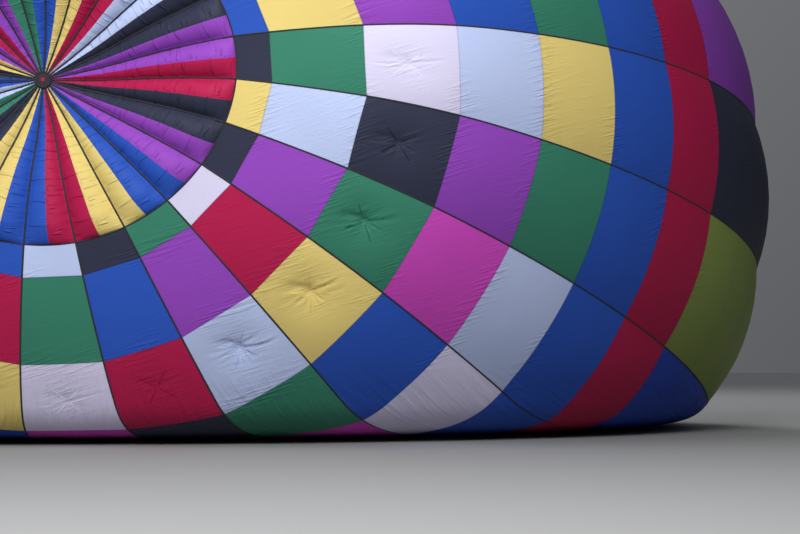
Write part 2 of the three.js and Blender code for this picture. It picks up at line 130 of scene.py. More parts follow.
bpy.ops.mesh.primitive_plane_add(size=600, location=(0, 0, ground - 0.004))
floor = bpy.context.object
floor.name = "floor"
floor.data.materials.append(Finish("pale_floor", Base_Color=(0.32, 0.325, 0.32, 1), Roughness=0.9).block)

sky = Finish("soft_sky", bpy.data.worlds, "Background", Color=(0.86, 0.89, 0.96, 1))
rightward, _, upward = sky.add("SeparateXYZ", {0: sky.place["Generated"]})
sky_dark, sky_bright = 0.02, 0.37
to_light = sky.reckon("SUBTRACT", upward, rightward)
sky.lead(Strength=sky.spread(to_light, -0.9, 1.1, sky_dark, sky_bright))
bpy.context.scene.world = sky.block


def soft_light(name, place, size, power, towards):
    data = bpy.data.lights.new(name, "AREA")
    data.shape = "DISK"
    data.size = size
    data.energy = power
    light = bpy.data.objects.new(name, data)
    light.location = place
    light.rotation_mode = "QUATERNION"
    light.rotation_quaternion = (Vector(towards) - Vector(place)).to_track_quat("-Z", "Y")
    bpy.context.scene.collection.objects.link(light)


soft_light("light_over", (-8, -20, 24), 14, 1400, (2, -6, 0))
soft_light("light_front", (2, -27, 8), 9, 4700, (6, -6, -1))
soft_light("light_behind", (-6, 36, 30), 26, 11000, (0, 10, 0))

# Gores of the envelope: 24 strips of coated ripstop nylon, each sewn from rows of coloured cloth.
# Each has its upper rows by the crown and its lower rows to the mouth. Cold air fills them loosely.
gore_count = 24
tape_spread = 2 * pi / gore_count
row_height = 1.42
vent_edge = 3.15
vent_lap = 0.30
first_row = 0.564
mouth_radius = 2.5
crown_height = 5.86
crown_drop = 0.18
mouth_height = 2.15
tape_turn = 9.9
ring_squash = 0.775
ring_sag = 0.0093
lower_drop = 0.096
crown_lean = 0.222
lean_start = 2.5
lean_run = 19
lower_tuck = 0.0345
ground_blend = 0.7
billow = 0.04
seam_draw = 0.035
billow_run = 2.5
resting_run = 1.5
profile_step = 0.02
past_mouth = 60
arc_lengths = (0.3, 1.1, 1.65, 1.95, 1.5 * row_height, 3.5 * row_height, 8.5 * row_height)
arc_ends = (-4, -25, -12, -4, 23, 49, 128)

bends = []
slope = 0.0
for length, end in zip(arc_lengths, arc_ends):
    count = int(length / profile_step + 0.5)
    turn = (radians(end) - slope) / count
    bends.extend(slope + turn * (i + 0.5) for i in range(count))
    slope = radians(end)
ring_radius = np.concatenate([[0], np.cumsum(np.cos(bends)) * profile_step])
to_mouth = int(np.ceil((ring_radius[-1] - mouth_radius) / (-cos(slope) * profile_step)))
bends.extend([slope] * (to_mouth + past_mouth))
ring_radius = np.concatenate([[0], np.cumsum(np.cos(bends)) * profile_step])
ring_back = np.concatenate([[0], np.cumsum(np.sin(bends)) * profile_step])
ring_along = np.arange(len(ring_radius)) * profile_step
mouth_edge = ring_along[-1 - past_mouth]
mouth_back = ring_back[-1 - past_mouth]
widest_back = ring_back[np.argmax(ring_radius)]


def smooth(t):
    c = np.clip(t, 0, 1)
    return c * c * (3 - 2 * c)


def envelope(along, angle):
    """Places on the tapes' own surface, for a length along the cloth and an angle round the crown."""
    radius = np.interp(along, ring_along, ring_radius)
    back = np.interp(along, ring_along, ring_back)
    low = np.maximum(0, -np.sin(angle)) ** 2
    rise = ring_squash * radius * np.sin(angle) - ring_sag * radius**2 - lower_drop * radius * low
    lean = crown_lean * (1 - smooth((back - lean_start) / lean_run))
    height = crown_height - (crown_height - mouth_height) * np.maximum(0, back / mouth_back) ** 2 + rise
    flattened = ground_blend * np.exp(np.minimum(0, height / ground_blend - 1))
    settled = np.where(height > ground_blend, height, flattened)
    settled = settled - crown_drop * np.maximum(0, 1 - along / vent_edge)
    x = radius * np.cos(angle)
    y = back - lean * rise + lower_tuck * radius**2 * low - widest_back
    return np.stack([x, y, settled + ground], axis=-1)


def outward(along, angle):
    near, short, thin = np.maximum(along, 0.06), 0.04, 0.004
    forth = envelope(near + short, angle) - envelope(np.maximum(near - short, 0.001), angle)
    side = envelope(near, angle + thin) - envelope(near, angle - thin)
    normal = np.cross(forth, side)
    return normal / np.linalg.norm(normal, axis=-1, keepdims=True)


def tape_angle(tape):
    return np.radians(tape_turn - tape * 360 / gore_count)


def gore_width(along):
    return 2 * pi * np.interp(along, ring_along, ring_radius) / gore_count


def gore_place(along, tape, part, proud):
    """Places on the gore that starts at a tape, from part 0 at that tape to part 1 at the next.
    Between the tapes the cloth billows, which draws its row seams back towards the crown."""
    angle = tape_angle(tape + part)
    drawn_back = seam_draw * gore_width(along) * smooth((along - vent_edge) / first_row)
    drawn_back = drawn_back * smooth((mouth_edge - along) / billow_run)
    along = along - drawn_back * 4 * part * (1 - part)
    place = envelope(along, angle)
    grow = smooth((along - vent_edge - vent_lap) / billow_run) * smooth((mouth_edge - along) / billow_run)
    free = smooth((place[..., 2] - ground) / resting_run)
    bulge = billow * gore_width(along) * grow * free * 4 * part * (1 - part)
    return place + outward(along, angle) * (bulge + proud)[..., None]


def tinted(colour, factor, extra=0):
    return tuple(min(1, c * factor + extra) for c in colour)


crease_tilt = radians(-18)
vent_crease_turn = (0, 0, 0.25)


def ripstop(name, colour, roughness=0.55):
    """Nylon cloth whose UV map is the flat cut in metres: across the gore, and along it from its vent edge.
    The vent's own cut starts past all the rows, and its creases lie across the tapes."""
    cloth = Finish(name, Roughness=roughness, Specular_IOR_Level=0.12)
    here, cut, reckon, times = cloth.here, cloth.cut, cloth.reckon, cloth.times
    along = cloth.add("SeparateXYZ", {0: cut})[1]
    row = reckon("FRACT", reckon("DIVIDE", reckon("SUBTRACT", along, first_row), row_height))
    off_middle = reckon("ABSOLUTE", reckon("SUBTRACT", row, 0.5))
    from_seam = times(reckon("SUBTRACT", 0.5, off_middle), row_height)
    on_vent = reckon("GREATER_THAN", along, vent_cut_start - 0.1)
    on_rows = reckon("SUBTRACT", 1, on_vent)
    seam = times(cloth.spread(from_seam, 0.006, 0.012, 1, 0), on_rows)
    by_seam = times(cloth.spread(from_seam, 0.02, 0.30, 1, 0), on_rows)
    nicks = cloth.noise(cut, (2.6, 16, 1), 1, 0.1, turn=vent_crease_turn)
    wrinkles = cloth.noise(cut, (5, 42, 1), 2, turn=vent_crease_turn)
    vent_relief = reckon("MULTIPLY_ADD", wrinkles, 0.3, times(cloth.spread(nicks, 0.60, 0.72), 0.95))
    puckers = times(times(cloth.noise(cut, (26, 1.6, 1), 2), by_seam), 0.22)
    patches = cloth.spread(cloth.noise(here, 0.8, 1), 0.44, 0.6)
    streaks = cloth.noise(here, (0.42, 0.3, 0.034), 2, 0.4, turn=(0, crease_tilt, 0), fit="TEXTURE")
    crease = cloth.spread(streaks, 0.46, 0.72)
    tugged = reckon("MULTIPLY_ADD", by_seam, 0.5, 0.10)
    cross_at = (0, cross_along - vent_edge, 0)
    from_cross = cloth.add("VectorMath", {0: cut, 1: cross_at}, operation="DISTANCE")[1]
    drawn_up = times(crease, cloth.spread(from_cross, 0.10, 0.52, 0.42, 0))
    height = cloth.add("SeparateXYZ", {0: here})[2]
    near_ground = cloth.spread(height, ground + 0.3, ground + 1.4, 0.9, 0)
    hanging = times(cloth.spread(cloth.noise(cut, (9, 0.7, 1), 2), 0.42, 0.7), near_ground)
    relief = reckon("MULTIPLY_ADD", times(crease, patches), tugged, puckers)
    relief = reckon("ADD", relief, times(vent_relief, on_vent))
    relief = reckon("ADD", relief, reckon("ADD", drawn_up, hanging))
    threads = reckon("MAXIMUM", cloth.waves(cut, 48, "X"), cloth.waves(cut, 48, "Y"))
    weave = reckon("POWER", threads, 8)
    light = tinted(colour, 1.12)
    faded = cloth.mixed(cloth.noise(here, 0.35, 4), tinted(colour, 0.82), light)
    tone = cloth.mixed(times(weave, 0.12), faded, light)
    tone = cloth.mixed(times(seam, 0.45), tone, tinted(colour, 0.4))
    deep = cloth.bumped(0.7, 0.026, relief)
    return cloth.lead(Base_Color=tone, Normal=cloth.bumped(0.25, 0.0006, weave, deep))


vent_cut_start = 40.0
cross_along = vent_edge + first_row + 1.45 * row_height
cloth_colours = {
    "P": (0.27, 0.06, 0.46),
    "R": (0.42, 0.012, 0.070),
    "K": (0.03, 0.034, 0.062),
    "B": (0.024, 0.086, 0.45),
    "G": (0.038, 0.20, 0.13),
    "Y": (0.74, 0.58, 0.19),
    "L": (0.48, 0.56, 0.82),
    "W": (0.66, 0.62, 0.82),
    "M": (0.58, 0.065, 0.48),
    "O": (0.24, 0.31, 0.075),
    "N": (0.018, 0.06, 0.42),
}
cloths = {letter: ripstop("cloth_" + letter.lower(), colour) for letter, colour in cloth_colours.items()}
cloth_order = list(cloths)

# The cutting chart: each gore's rows from the vent edge, by the letter of its cloth.
cutting_chart = (
    "KGWLYBRK", "YLKPGBRO", "KPGMLBRN", "WRYBWBRN", "GPLGMBRP", "KBRKYBRO", "LGWMPBRK", "BRYNGBRP",
    "GKLRPBRN", "PYKGWBRO", "LBMYKBRP", "RGWPLBRK", "YPKBGBRN", "BLRMYBRO", "KWGPRBRP", "GYBKLBRK",
    "WRPGMBRN", "PKYLBBRO", "LGRWKBRP", "YBKPGBRK", "RLGMWBRN", "KYPBRBRO", "GWBKLBRP", "BYPBGBRP",
)
lower_chart = ("BR", "YP", "GM", "LN", "RK", "WB", "PG", "KY")

upper_end = vent_edge + first_row + 7 * row_height
upper_rows = np.concatenate([
    np.linspace(vent_edge, vent_edge + first_row, 9)[:-1],
    vent_edge + first_row + row_height * np.concatenate([
        np.arange(22) / 22, 1 + np.arange(58) / 58, 2 + np.arange(18) / 18, 3 + np.arange(57) / 14,
    ]),
])
lower_rows = np.concatenate([
    [upper_end - 0.012], upper_end + row_height * np.arange(1, 140) / 8, [mouth_edge],
])
lower_rows = lower_rows[(lower_rows < mouth_edge - 0.05) | (lower_rows == mouth_edge)]


def columns(spans, gather):
    """Columns across a gore, closer together in its middle, where the cloth is drawn in."""
    t = np.linspace(-1, 1, spans + 1)
    return 0.5 + 0.5 * ((1 - gather) * t + gather * t**3)


# The sewn cross in the middle of the third row, which holds a line inside, draws the cloth in. Its
# folds are listed by their turn above the level, offset, start, end and depth.
dimple_depths = (0.35, 0.7, 1.0, 1.0, 1.0, 0.25, 0.3, 0.7, 0.9, 0.6, 0.8, 0.4)
dimple_folds = (
    (24, 0.0, 0.02, 0.62, 0.019), (27, 0.055, 0.08, 0.52, 0.013), (22, -0.05, 0.22, 0.70, 0.012),
    (183, 0.0, 0.04, 0.55, 0.014), (187, 0.06, 0.22, 0.62, 0.011), (206, 0.03, 0.10, 0.48, 0.012),
    (208, -0.03, 0.16, 0.42, 0.010), (-22, 0.0, 0.08, 0.34, 0.014), (-50, 0.0, 0.07, 0.30, 0.012),
    (-78, 0.0, 0.06, 0.32, 0.011), (-108, 0.0, 0.06, 0.30, 0.011), (-138, 0.0, 0.08, 0.34, 0.012),
    (70, 0.0, 0.10, 0.32, 0.008), (110, 0.0, 0.10, 0.36, 0.008),
)
fold_reach = 0.019


def dimple(along, part, tape):
    """How far the cloth is drawn in round the sewn cross of the third row."""
    depth = dimple_depths[tape % len(dimple_depths)]
    middle = tape_angle(tape + 0.5)
    across = (part - 0.5) * gore_width(along)
    down = along - cross_along
    far = np.hypot(across, down)
    drawn = -0.05 * np.exp(-((far / 0.10) ** 2)) - 0.09 * np.exp(-((far / 0.40) ** 2))
    right = across * np.sin(middle) + down * np.cos(middle)
    up = -across * np.cos(middle) + down * np.sin(middle)
    drawn -= 0.035 * np.exp(-(((right + 0.20) / 0.16) ** 2) - (((up - 0.09) / 0.07) ** 2))
    for turn, offset, start, end, deep in dimple_folds:
        way = radians(turn + 7 * sin(3.1 * tape + turn))
        run = right * cos(way) + up * sin(way)
        aside = up * cos(way) - right * sin(way) - offset
        held = smooth((run - start) / 0.08) * smooth((end - run) / 0.24)
        furrow = np.exp(-((aside / fold_reach) ** 2))
        ridge = np.exp(-(((aside - 1.9 * fold_reach) / fold_reach) ** 2))
        drawn += deep * held * (0.6 * ridge - furrow)
    return depth * drawn


folds_across = 4
fold_length = 1.1 * row_height
folds_from = 17.5
full_room = 0.9


def slack_folds(along, part, tape):
    """Loose cloth that lies in folds where the gore has less room than its flat cut, as on the ground."""
    width = gore_width(along)
    angle = tape_angle(tape + part)
    thin, short = 0.003, 0.02
    side = envelope(along, angle - thin) - envelope(along, angle + thin)
    side = side / (2 * thin * width / tape_spread)[..., None]
    down = (envelope(along + short, angle) - envelope(along - short, angle)) / (2 * short)
    room = np.linalg.norm(np.cross(side, down), axis=-1)
    steep = np.sqrt(2 * np.clip(full_room / room - 1, 0, 1.6))
    steep = steep * smooth((along - folds_from) / 4) * smooth((mouth_edge - along) / 2)
    across = steep * np.linalg.norm(side, axis=-1) * width / folds_across / (2 * pi)
    forth = 0.6 * steep * np.linalg.norm(down, axis=-1) * fold_length / (2 * pi)
    drift = 0.24 * np.sin(2.3 * along + 1.9 * tape) + 0.13 * np.sin(5.1 * along + 4.3 * tape)
    wander = 0.22 * np.sin(5.0 * part + 2.1 * tape) + 0.3 * np.sin(1.1 * along + 0.8 * tape)
    free = 1 - (2 * part - 1) ** 6
    held = 1 - (2 * part - 1) ** 10
    waves = across * (1 - np.cos(2 * pi * (folds_across * part + drift * held)))
    return -waves - forth * free * (1 - np.cos(2 * pi * (along / fold_length + wander)))


def new_piece(name, places, faces, materials, smooth_shade=True):
    mesh = bpy.data.meshes.new(name)
    mesh.from_pydata(places.reshape(-1, 3), [], faces)
    for material in materials:
        mesh.materials.append(material)
    mesh.polygons.foreach_set("use_smooth", np.full(len(mesh.polygons), smooth_shade))
    mesh.update()
    piece = bpy.data.objects.new(name, mesh)
    bpy.context.scene.collection.objects.link(piece)
    return piece


def grid_mesh(name, places, cut, cloth_rows, materials):
    """A sheet of quads from rows of places, with the flat cut as its UV map."""
    rows, columns = places.shape[:2]
    corner = np.arange(rows * columns).reshape(rows, columns)
    near, far = corner[:-1], corner[1:]
    quads = np.stack([near[:, :-1], near[:, 1:], far[:, 1:], far[:, :-1]], axis=-1).reshape(-1, 4)
    piece = new_piece(name, places, quads, materials)
    slots = np.repeat(cloth_rows, columns - 1).astype(np.int32)
    piece.data.polygons.foreach_set("material_index", slots)
    piece.data.uv_layers.new(name="cut").data.foreach_set("uv", cut.reshape(-1, 2)[quads.ravel()].ravel())
    return piece


def gore_sheet(name, tape, rows, parts, letters, proud):
    along, part = np.meshgrid(rows, parts, indexing="ij")
    places = gore_place(along, tape, part, proud + slack_folds(along, part, tape) + dimple(along, part, tape))
    cut = np.stack([(part - 0.5) * gore_width(along), along - vent_edge], axis=-1)
    used = sorted(set(letters), key=cloth_order.index)
    middle = (rows[1:] + rows[:-1]) / 2 - vent_edge - first_row
    row_number = np.maximum(0, np.floor(middle / row_height) + 1).astype(int)
    first = row_number[0]
    slots = np.array([used.index(letters[min(n - first, len(letters) - 1)]) for n in row_number])
    return grid_mesh(name, places, cut, slots, [cloths[letter] for letter in used])


near_gores = (23, *range(10))
folded_gores = range(2, 11)
for tape in range(gore_count):
    node = f"gore_{tape + 1:02d}"
    letters = cutting_chart[tape]
    own, second = letters[7], lower_chart[tape % len(lower_chart)]
    tail = own * 4 + "R" + second[0] * 5 + second[1] * 5 + "K" * 3
    upper_columns = columns(36 if tape in near_gores else 20, 0.72)
    lower_columns = columns(40 if tape in folded_gores else 8, 0)
    upper = gore_sheet(node + "_upper", tape, upper_rows, upper_columns, letters, 0.0)
    lower = gore_sheet(node + "_lower", tape, lower_rows, lower_columns, tail, -0.0015)
    for piece, rows in ((upper, upper_rows), (lower, lower_rows)):
        widths = gore_width(rows)
        area = float(np.sum((widths[1:] + widths[:-1]) / 2 * np.diff(rows)))
        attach(piece, "balloon")
        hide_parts(node)

# Load tapes: 24 black woven webbing straps that run over the cloth from the crown ring to the mouth.
# They are sewn along the edges of the gores and carry all of the load.
tape_half = 0.014
tape_start = 0.09
full_width_from = 0.112
tape_tone = (0.012, 0.012, 0.016)
webbing = Finish("tape_black", Roughness=0.8)
ribs = webbing.waves(webbing.here, 160, "DIAGONAL", 0.4)
dusty = webbing.mixed(webbing.noise(webbing.here, 5, 4), tape_tone, tinted(tape_tone, 1.8, 0.006))
tape_black = webbing.lead(Base_Color=dusty, Normal=webbing.bumped(0.4, 0.0008, ribs))


def loft(name, rings, material, closed_ends=True, smooth_shade=True):
    """Skins over rings of places, each ring with the same number of corners."""
    steps, corners = rings.shape[-3], rings.shape[-2]
    corner = np.arange(steps * corners).reshape(steps, corners)
    after = np.roll(corner, -1, axis=1)
    quads = np.stack([corner[:-1], after[:-1], after[1:], corner[1:]], axis=-1).reshape(-1, 4)
    faces = []
    for first in range(0, rings.size // 3, steps * corners):
        faces.extend((quads + first).tolist())
        if closed_ends:
            faces.append((corner[0][::-1] + first).tolist())
            faces.append((corner[-1] + first).tolist())
    return new_piece(name, rings, faces, [material], smooth_shade)


def closed_loft(name, lines, material):
    """Skins over the lines that run all round a piece, which closes on itself."""
    rings = np.stack(lines, axis=1)
    return loft(name, np.concatenate([rings, rings[:1]])[None], material, closed_ends=False)


over_vent = np.linspace(tape_start, vent_edge, 36)[:-1]
tape_rows = np.concatenate([over_vent, np.linspace(vent_edge, mouth_edge, 220)])
sink = -0.005 + 0.0075 * smooth((tape_rows - vent_edge + 0.06) / 0.08)
share = tape_half / gore_width(np.maximum(tape_rows, full_width_from))
runs = []
for tape in range(gore_count):
    ring = []
    for side, lift in ((-1, 0.0022), (0, 0.0026), (1, 0.0022), (1, -0.002), (-1, -0.002)):
        gore, part = (tape - 1, 1 - share) if side < 0 else (tape, share * side)
        ring.append(gore_place(tape_rows, gore, part, sink + lift))
    runs.append(np.stack(ring, axis=1))
load_tapes = loft("load_tapes", np.stack(runs), tape_black)
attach(load_tapes, "balloon")
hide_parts("crown_tapes")

# Edge binding: a black tape round the hole at the crown, where the parachute seals.
round_edge = np.arange(gore_count * 24) / 24
tape_number = np.floor(round_edge)
edge_lines = []
for along, lift in ((-0.002, 0.003), (0.022, 0.003), (0.022, 0.001), (-0.002, 0.001)):
    edge_lines.append(gore_place(vent_edge + along, tape_number, round_edge - tape_number, lift))
edge_binding = closed_loft("edge_binding", edge_lines, tape_black)
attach(edge_binding, "balloon")

# Parachute vent: one round sheet of 24 coloured panels inside the hole, pressed out between the
# tapes by the air. Each panel is centred on a tape, so its seams lie on the crests.
vent_chart = "PRKPBYRBYKGLBKYPRPGBYRLK"
vent_spans = 16
vent_radii = np.concatenate([
    np.linspace(0.02, 0.6, 14)[:-1], np.linspace(0.6, vent_edge - 0.12, 67)[:-1],
    np.linspace(vent_edge - 0.12, vent_edge, 9), [vent_edge + 0.1, vent_edge + 0.2, vent_edge + vent_lap],
])
radius, column = np.meshgrid(vent_radii, np.arange(gore_count * vent_spans + 1), indexing="ij")
tape_number = np.floor(column / vent_spans)
part = 0.5 - 0.5 * np.cos(pi * (column / vent_spans - tape_number))
chord = gore_width(radius)
press = 0.225 * np.sqrt(np.clip((vent_edge - radius) / 0.35, 0, 1)) * smooth((radius - 0.05) / 0.3)
beside_tape = 0.018
raised = np.clip((part * chord - beside_tape) / np.maximum(chord - 2 * beside_tape, 0.01), 0, 1)
hump = chord * press * (4 * raised * (1 - raised)) ** 0.85
from_tape = np.minimum(part, 1 - part) * chord
rng = np.random.default_rng(7)
pinch = np.zeros_like(radius)
for tape in range(gore_count):
    for side in (0, 1):
        beside = (tape_number == tape) & ((part > 0.5) == bool(side))
        for centre in np.cumsum(rng.uniform(0.16, 0.42, 12)) + 0.2:
            drop = rng.uniform(0.008, 0.02)
            reach = rng.uniform(0.08, 0.2)
            lean_to = rng.uniform(-0.3, 0.5)
            line = radius - centre - lean_to * from_tape
            depth = drop * np.exp(-((line / 0.028) ** 2)) * np.exp(-((from_tape / reach) ** 2))
            pinch -= np.where(beside, depth, 0)
pinch *= smooth(from_tape / 0.02) * smooth((vent_edge - radius) / 0.1)
vent_places = gore_place(radius, tape_number % gore_count, part, hump + pinch - 0.0115)
vent_cut = np.stack([(np.mod(part + 0.5, 1) - 0.5) * chord, radius + vent_cut_start], axis=-1)
panel = (np.floor(column / vent_spans + 0.5) % gore_count).astype(int)[:-1, :-1]
used = sorted(set(vent_chart), key=cloth_order.index)
vent_cloths = [cloths[letter] for letter in used]
vent = grid_mesh("parachute_vent_cloth", vent_places, vent_cut, np.zeros(len(vent_radii) - 1), vent_cloths)
slots = np.array([used.index(vent_chart[n]) for n in panel.ravel()], dtype=np.int32)
vent.data.polygons.foreach_set("material_index", slots)
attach(vent, "vent")
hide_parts("parachute_vent")

# Sewn crosses: four short tapes of the row's own colour, stitched over the cloth where a line inside
# pulls on it. They stop short of the middle.
cross_half = 0.011
cross_start = 0.045
cross_end = 0.31
cross_rows = []
cross_slots = []
cross_letters = sorted({letters[2] for letters in cutting_chart}, key=cloth_order.index)
for tape in range(gore_count):
    for arm in range(4):
        way = radians(45 + 90 * arm)
        run = np.linspace(cross_start, cross_end, 15)
        ring = []
        for aside, lift in ((-1, 0.003), (1, 0.003), (1, -0.002), (-1, -0.002)):
            down = run * cos(way) - aside * cross_half * sin(way)
            across = run * sin(way) + aside * cross_half * cos(way)
            along = cross_along + down
            part = 0.5 + across / gore_width(along)
            ring.append(gore_place(along, tape, part, lift + dimple(along, part, tape)))
        cross_rows.append(np.stack(ring, axis=1))
        cross_slots.append(cross_letters.index(cutting_chart[tape][2]))
cross_tints = {"W": 0.7}
cross_cloths = []
for letter in cross_letters:
    tint = cross_tints.get(letter, 1.2)
    cross_cloths.append(ripstop("cross_" + letter.lower(), tuple(c**tint for c in cloth_colours[letter])))
sewn_crosses = loft("sewn_crosses", np.stack(cross_rows), cross_cloths[0], smooth_shade=False)
for material in cross_cloths[1:]:
    sewn_crosses.data.materials.append(material)
faces_per_cross = len(sewn_crosses.data.polygons) // len(cross_slots)
cross_faces = np.repeat(cross_slots, faces_per_cross).astype(np.int32)
sewn_crosses.data.polygons.foreach_set("material_index", cross_faces)
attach(sewn_crosses, "balloon")

# Crown ring: a flat ring of dark anodised alloy on the crossing of the tapes. Each tape's end is
# looped round it and sewn back, and a red patch closes the middle of the vent under it.


def metal(name, colour, roughness):
    finish = Finish(name, Metallic=1)
    lines = finish.noise(finish.here, (9, 240, 240), 3)
    marks = finish.noise(finish.here, 7, 5)
    rough = finish.reckon("MULTIPLY_ADD", marks, 0.25, roughness - 0.15)
    rough = finish.reckon("MULTIPLY_ADD", lines, 0.25, rough)
    tint = finish.mixed(marks, colour, tinted(colour, 0.62))
    return finish.lead(Base_Color=tint, Roughness=rough, Normal=finish.bumped(0.2, 0.0006, lines))


def only(*pieces):
    """Selects these pieces and nothing else."""
    bpy.ops.object.select_all(action="DESELECT")
    for piece in pieces:
        piece.select_set(True)
    bpy.context.view_layer.objects.active = pieces[0]


def applied(piece):
    """Takes the piece's place, turn and scale into its mesh."""
    only(piece)
    bpy.ops.object.transform_apply()
    return piece


def aim_to(piece, way):
    piece.rotation_mode = "QUATERNION"
    piece.rotation_quaternion = Vector(way).to_track_quat("Z", "Y")
    return applied(piece)


def joined(*pieces):
    only(*pieces)
    bpy.ops.object.join()
    return bpy.context.object


def complete(piece, name, material, body, slot, *nodes):
    """Names a modelled piece, gives it its finish and fixes it to its body."""
    applied(piece)
    bpy.ops.object.shade_smooth_by_angle(angle=radians(38))
    piece.name = name
    piece.data.name = name
    piece.data.materials.clear()
    piece.data.materials.append(material)
    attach(piece, body)
    if nodes:
        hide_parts(*nodes)


def drawn_out(sides, middle, way, *stations):
    """A round piece drawn out from a circle: each station is a radius and a height along its way."""
    bpy.ops.mesh.primitive_circle_add(vertices=sides, radius=stations[0][0], fill_type="NGON")
    piece = bpy.context.object
    bpy.ops.object.mode_set(mode="EDIT")
    bpy.ops.transform.translate(value=(0, 0, stations[0][1]))
    for before, after in zip(stations, stations[1:]):
        bpy.ops.mesh.extrude_region_move(TRANSFORM_OT_translate={"value": (0, 0, after[1] - before[1])})
        bpy.ops.transform.resize(value=(after[0] / before[0], after[0] / before[0], 1))
    bpy.ops.mesh.select_all(action="SELECT")
    bpy.ops.mesh.normals_make_consistent(inside=False)
    bpy.ops.object.mode_set(mode="OBJECT")
    aim_to(piece, way)
    piece.location = middle
    return applied(piece)


def hoop(middle, major, minor, around, sides, turn=(0, 0, 0)):
    bpy.ops.mesh.primitive_torus_add(
        location=middle, rotation=turn, major_radius=major, minor_radius=minor,
        major_segments=around, minor_segments=sides,
    )
    return bpy.context.object


dark_alloy = metal("dark_alloy", (0.05, 0.05, 0.055), 0.5)
ring_points = np.array([corner.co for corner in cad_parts["crown_ring"].data.vertices])
ring_middle = (ring_points.max(axis=0) + ring_points.min(axis=0)) / 2
ring_way = np.linalg.svd(ring_points - ring_points.mean(axis=0))[2][2]
ring_way = ring_way * -np.sign(ring_way[1])
crown_major = 0.111
crown_ring = aim_to(hoop(ring_middle, crown_major, 0.009, 72, 10), ring_way)
complete(crown_ring, "crown_ring_body", dark_alloy, "balloon", "ring_metal", "crown_ring")

side_way = np.cross(ring_way, (0, 0, 1))
side_way = side_way / np.linalg.norm(side_way)
up_way = np.cross(side_way, ring_way)
steps_per_loop = 6
loop_steps = gore_count * steps_per_loop
turn = 2 * pi * np.arange(loop_steps) / loop_steps
from_middle = np.cos(turn)[:, None] * side_way + np.sin(turn)[:, None] * up_way
loop_thick = np.where(np.arange(loop_steps) % steps_per_loop < 5, 0.0135, 0.0095)
loop_lines = []
for corner in range(9):
    round_ring = 2 * pi * corner / 9
    sewn_back = 0.006 if cos(round_ring) > 0.3 else 0
    reach = crown_major + (loop_thick + sewn_back) * cos(round_ring)
    lift = loop_thick * sin(round_ring) * 0.8
    loop_lines.append(ring_middle + reach[:, None] * from_middle + lift[:, None] * ring_way)
tape_loops = closed_loft("tape_loops", loop_lines, tape_black)
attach(tape_loops, "balloon")

crown_pad = drawn_out(
    48, ring_middle, ring_way, (0.104, -0.004), (0.106, 0.0), (0.09, 0.004), (0.02, 0.007), (0.004, 0.0075),
)
complete(crown_pad, "crown_pad", tape_black, "balloon", "load_tape")

red_tie = drawn_out(24, ring_middle, ring_way, (0.03, 0.006), (0.031, 0.011), (0.024, 0.014), (0.006, 0.015))
complete(red_tie, "crown_tie", cloths["R"], "balloon", "load_tape")

vent_middle = Vector(vent_places[0].mean(axis=0))
patch_profile = ((0.052, -0.0015), (0.053, 0.0), (0.03, 0.0012), (0.004, 0.0015))
vent_patch = drawn_out(32, vent_middle, ring_way, *patch_profile)
complete(vent_patch, "vent_centre_patch", cloths["R"], "vent", "vent_cloth")

# Skirt: a collar of black flameproof cloth sewn to the mouth, with a hem tape round its free edge.
# It hangs a little slack between the tapes' ends.
skirt_length = 0.88
skirt_rows = mouth_edge + 0.004 + np.linspace(0, skirt_length, 15)
skirt_part = np.arange(gore_count * 10 + 1) / 10
skirt_along, round_mouth = np.meshgrid(skirt_rows, skirt_part, indexing="ij")
skirt_tape = np.floor(round_mouth)
share = round_mouth - skirt_tape
fall = (skirt_along - mouth_edge) / skirt_length
slack = 0.035 * fall * (1 - 4 * share * (1 - share)) + 0.008 * fall * np.sin(9 * round_mouth)
skirt_places = gore_place(skirt_along, skirt_tape, share, -0.004 - slack)
skirt_cut = np.stack([round_mouth * 0.6, skirt_along - vent_edge], axis=-1)
skirt_cloth = ripstop("skirt_black", (0.03, 0.03, 0.034), 0.85)
skirt = grid_mesh("mouth_skirt_cloth", skirt_places, skirt_cut, np.zeros(14), [skirt_cloth])
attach(skirt, "balloon")
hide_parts("mouth_skirt")
skirt_end_radius = float(np.interp(skirt_rows[-1], ring_along, ring_radius))
hem_slack = slack[-1] / fall[-1]
hem = []
for lift, back in ((0.002, -0.03), (0.002, 0.003), (-0.004, 0.003), (-0.004, -0.03)):
    hem.append(gore_place(skirt_rows[-1] + back, skirt_tape[-1], share[-1], lift - 0.004 - hem_slack))
skirt_hem = loft("skirt_hem", np.stack(hem, axis=1)[None], tape_black, closed_ends=False)
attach(skirt_hem, "balloon")

# Burner frame: a rectangle of stainless tube with bent corners, which carries the wires, the
# burner and the basket. A socket stands at each corner for an upright, with an eye for the wires.


def box_of(node):
    """The middle and the half size of a CAD piece's box."""
    low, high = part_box(node)
    return (low + high) / 2, (high - low) / 2


frame_middle, frame_half = box_of("burner_frame")
tube_radius = frame_half.y
frame_half_x = frame_half.x - tube_radius
frame_half_z = frame_half.z - tube_radius
frame_bend = 0.118
stainless = metal("stainless", (0.62, 0.63, 0.65), 0.32)


def tube_along(points, radius, closed=False, roundness=2):
    """A round tube bent along these points."""
    data = bpy.data.curves.new("bend", "CURVE")
    data.dimensions = "3D"
    run = data.splines.new("POLY")
    run.points.add(len(points) - 1)
    for spot, point in zip(run.points, points):
        spot.co = (*point, 1)
    run.use_cyclic_u = closed
    data.bevel_depth = radius
    data.bevel_resolution = roundness
    data.use_fill_caps = True
    piece = bpy.data.objects.new("bend", data)
    bpy.context.scene.collection.objects.link(piece)
    only(piece)
    bpy.ops.object.convert(target="MESH")
    return bpy.context.object


def step(x=0, y=0, z=0):
    return Vector((x, y, z))


def round_axis(turn, reach=1):
    """A step out from an axis that runs along Y."""
    return Vector((reach * cos(turn), 0, reach * sin(turn)))


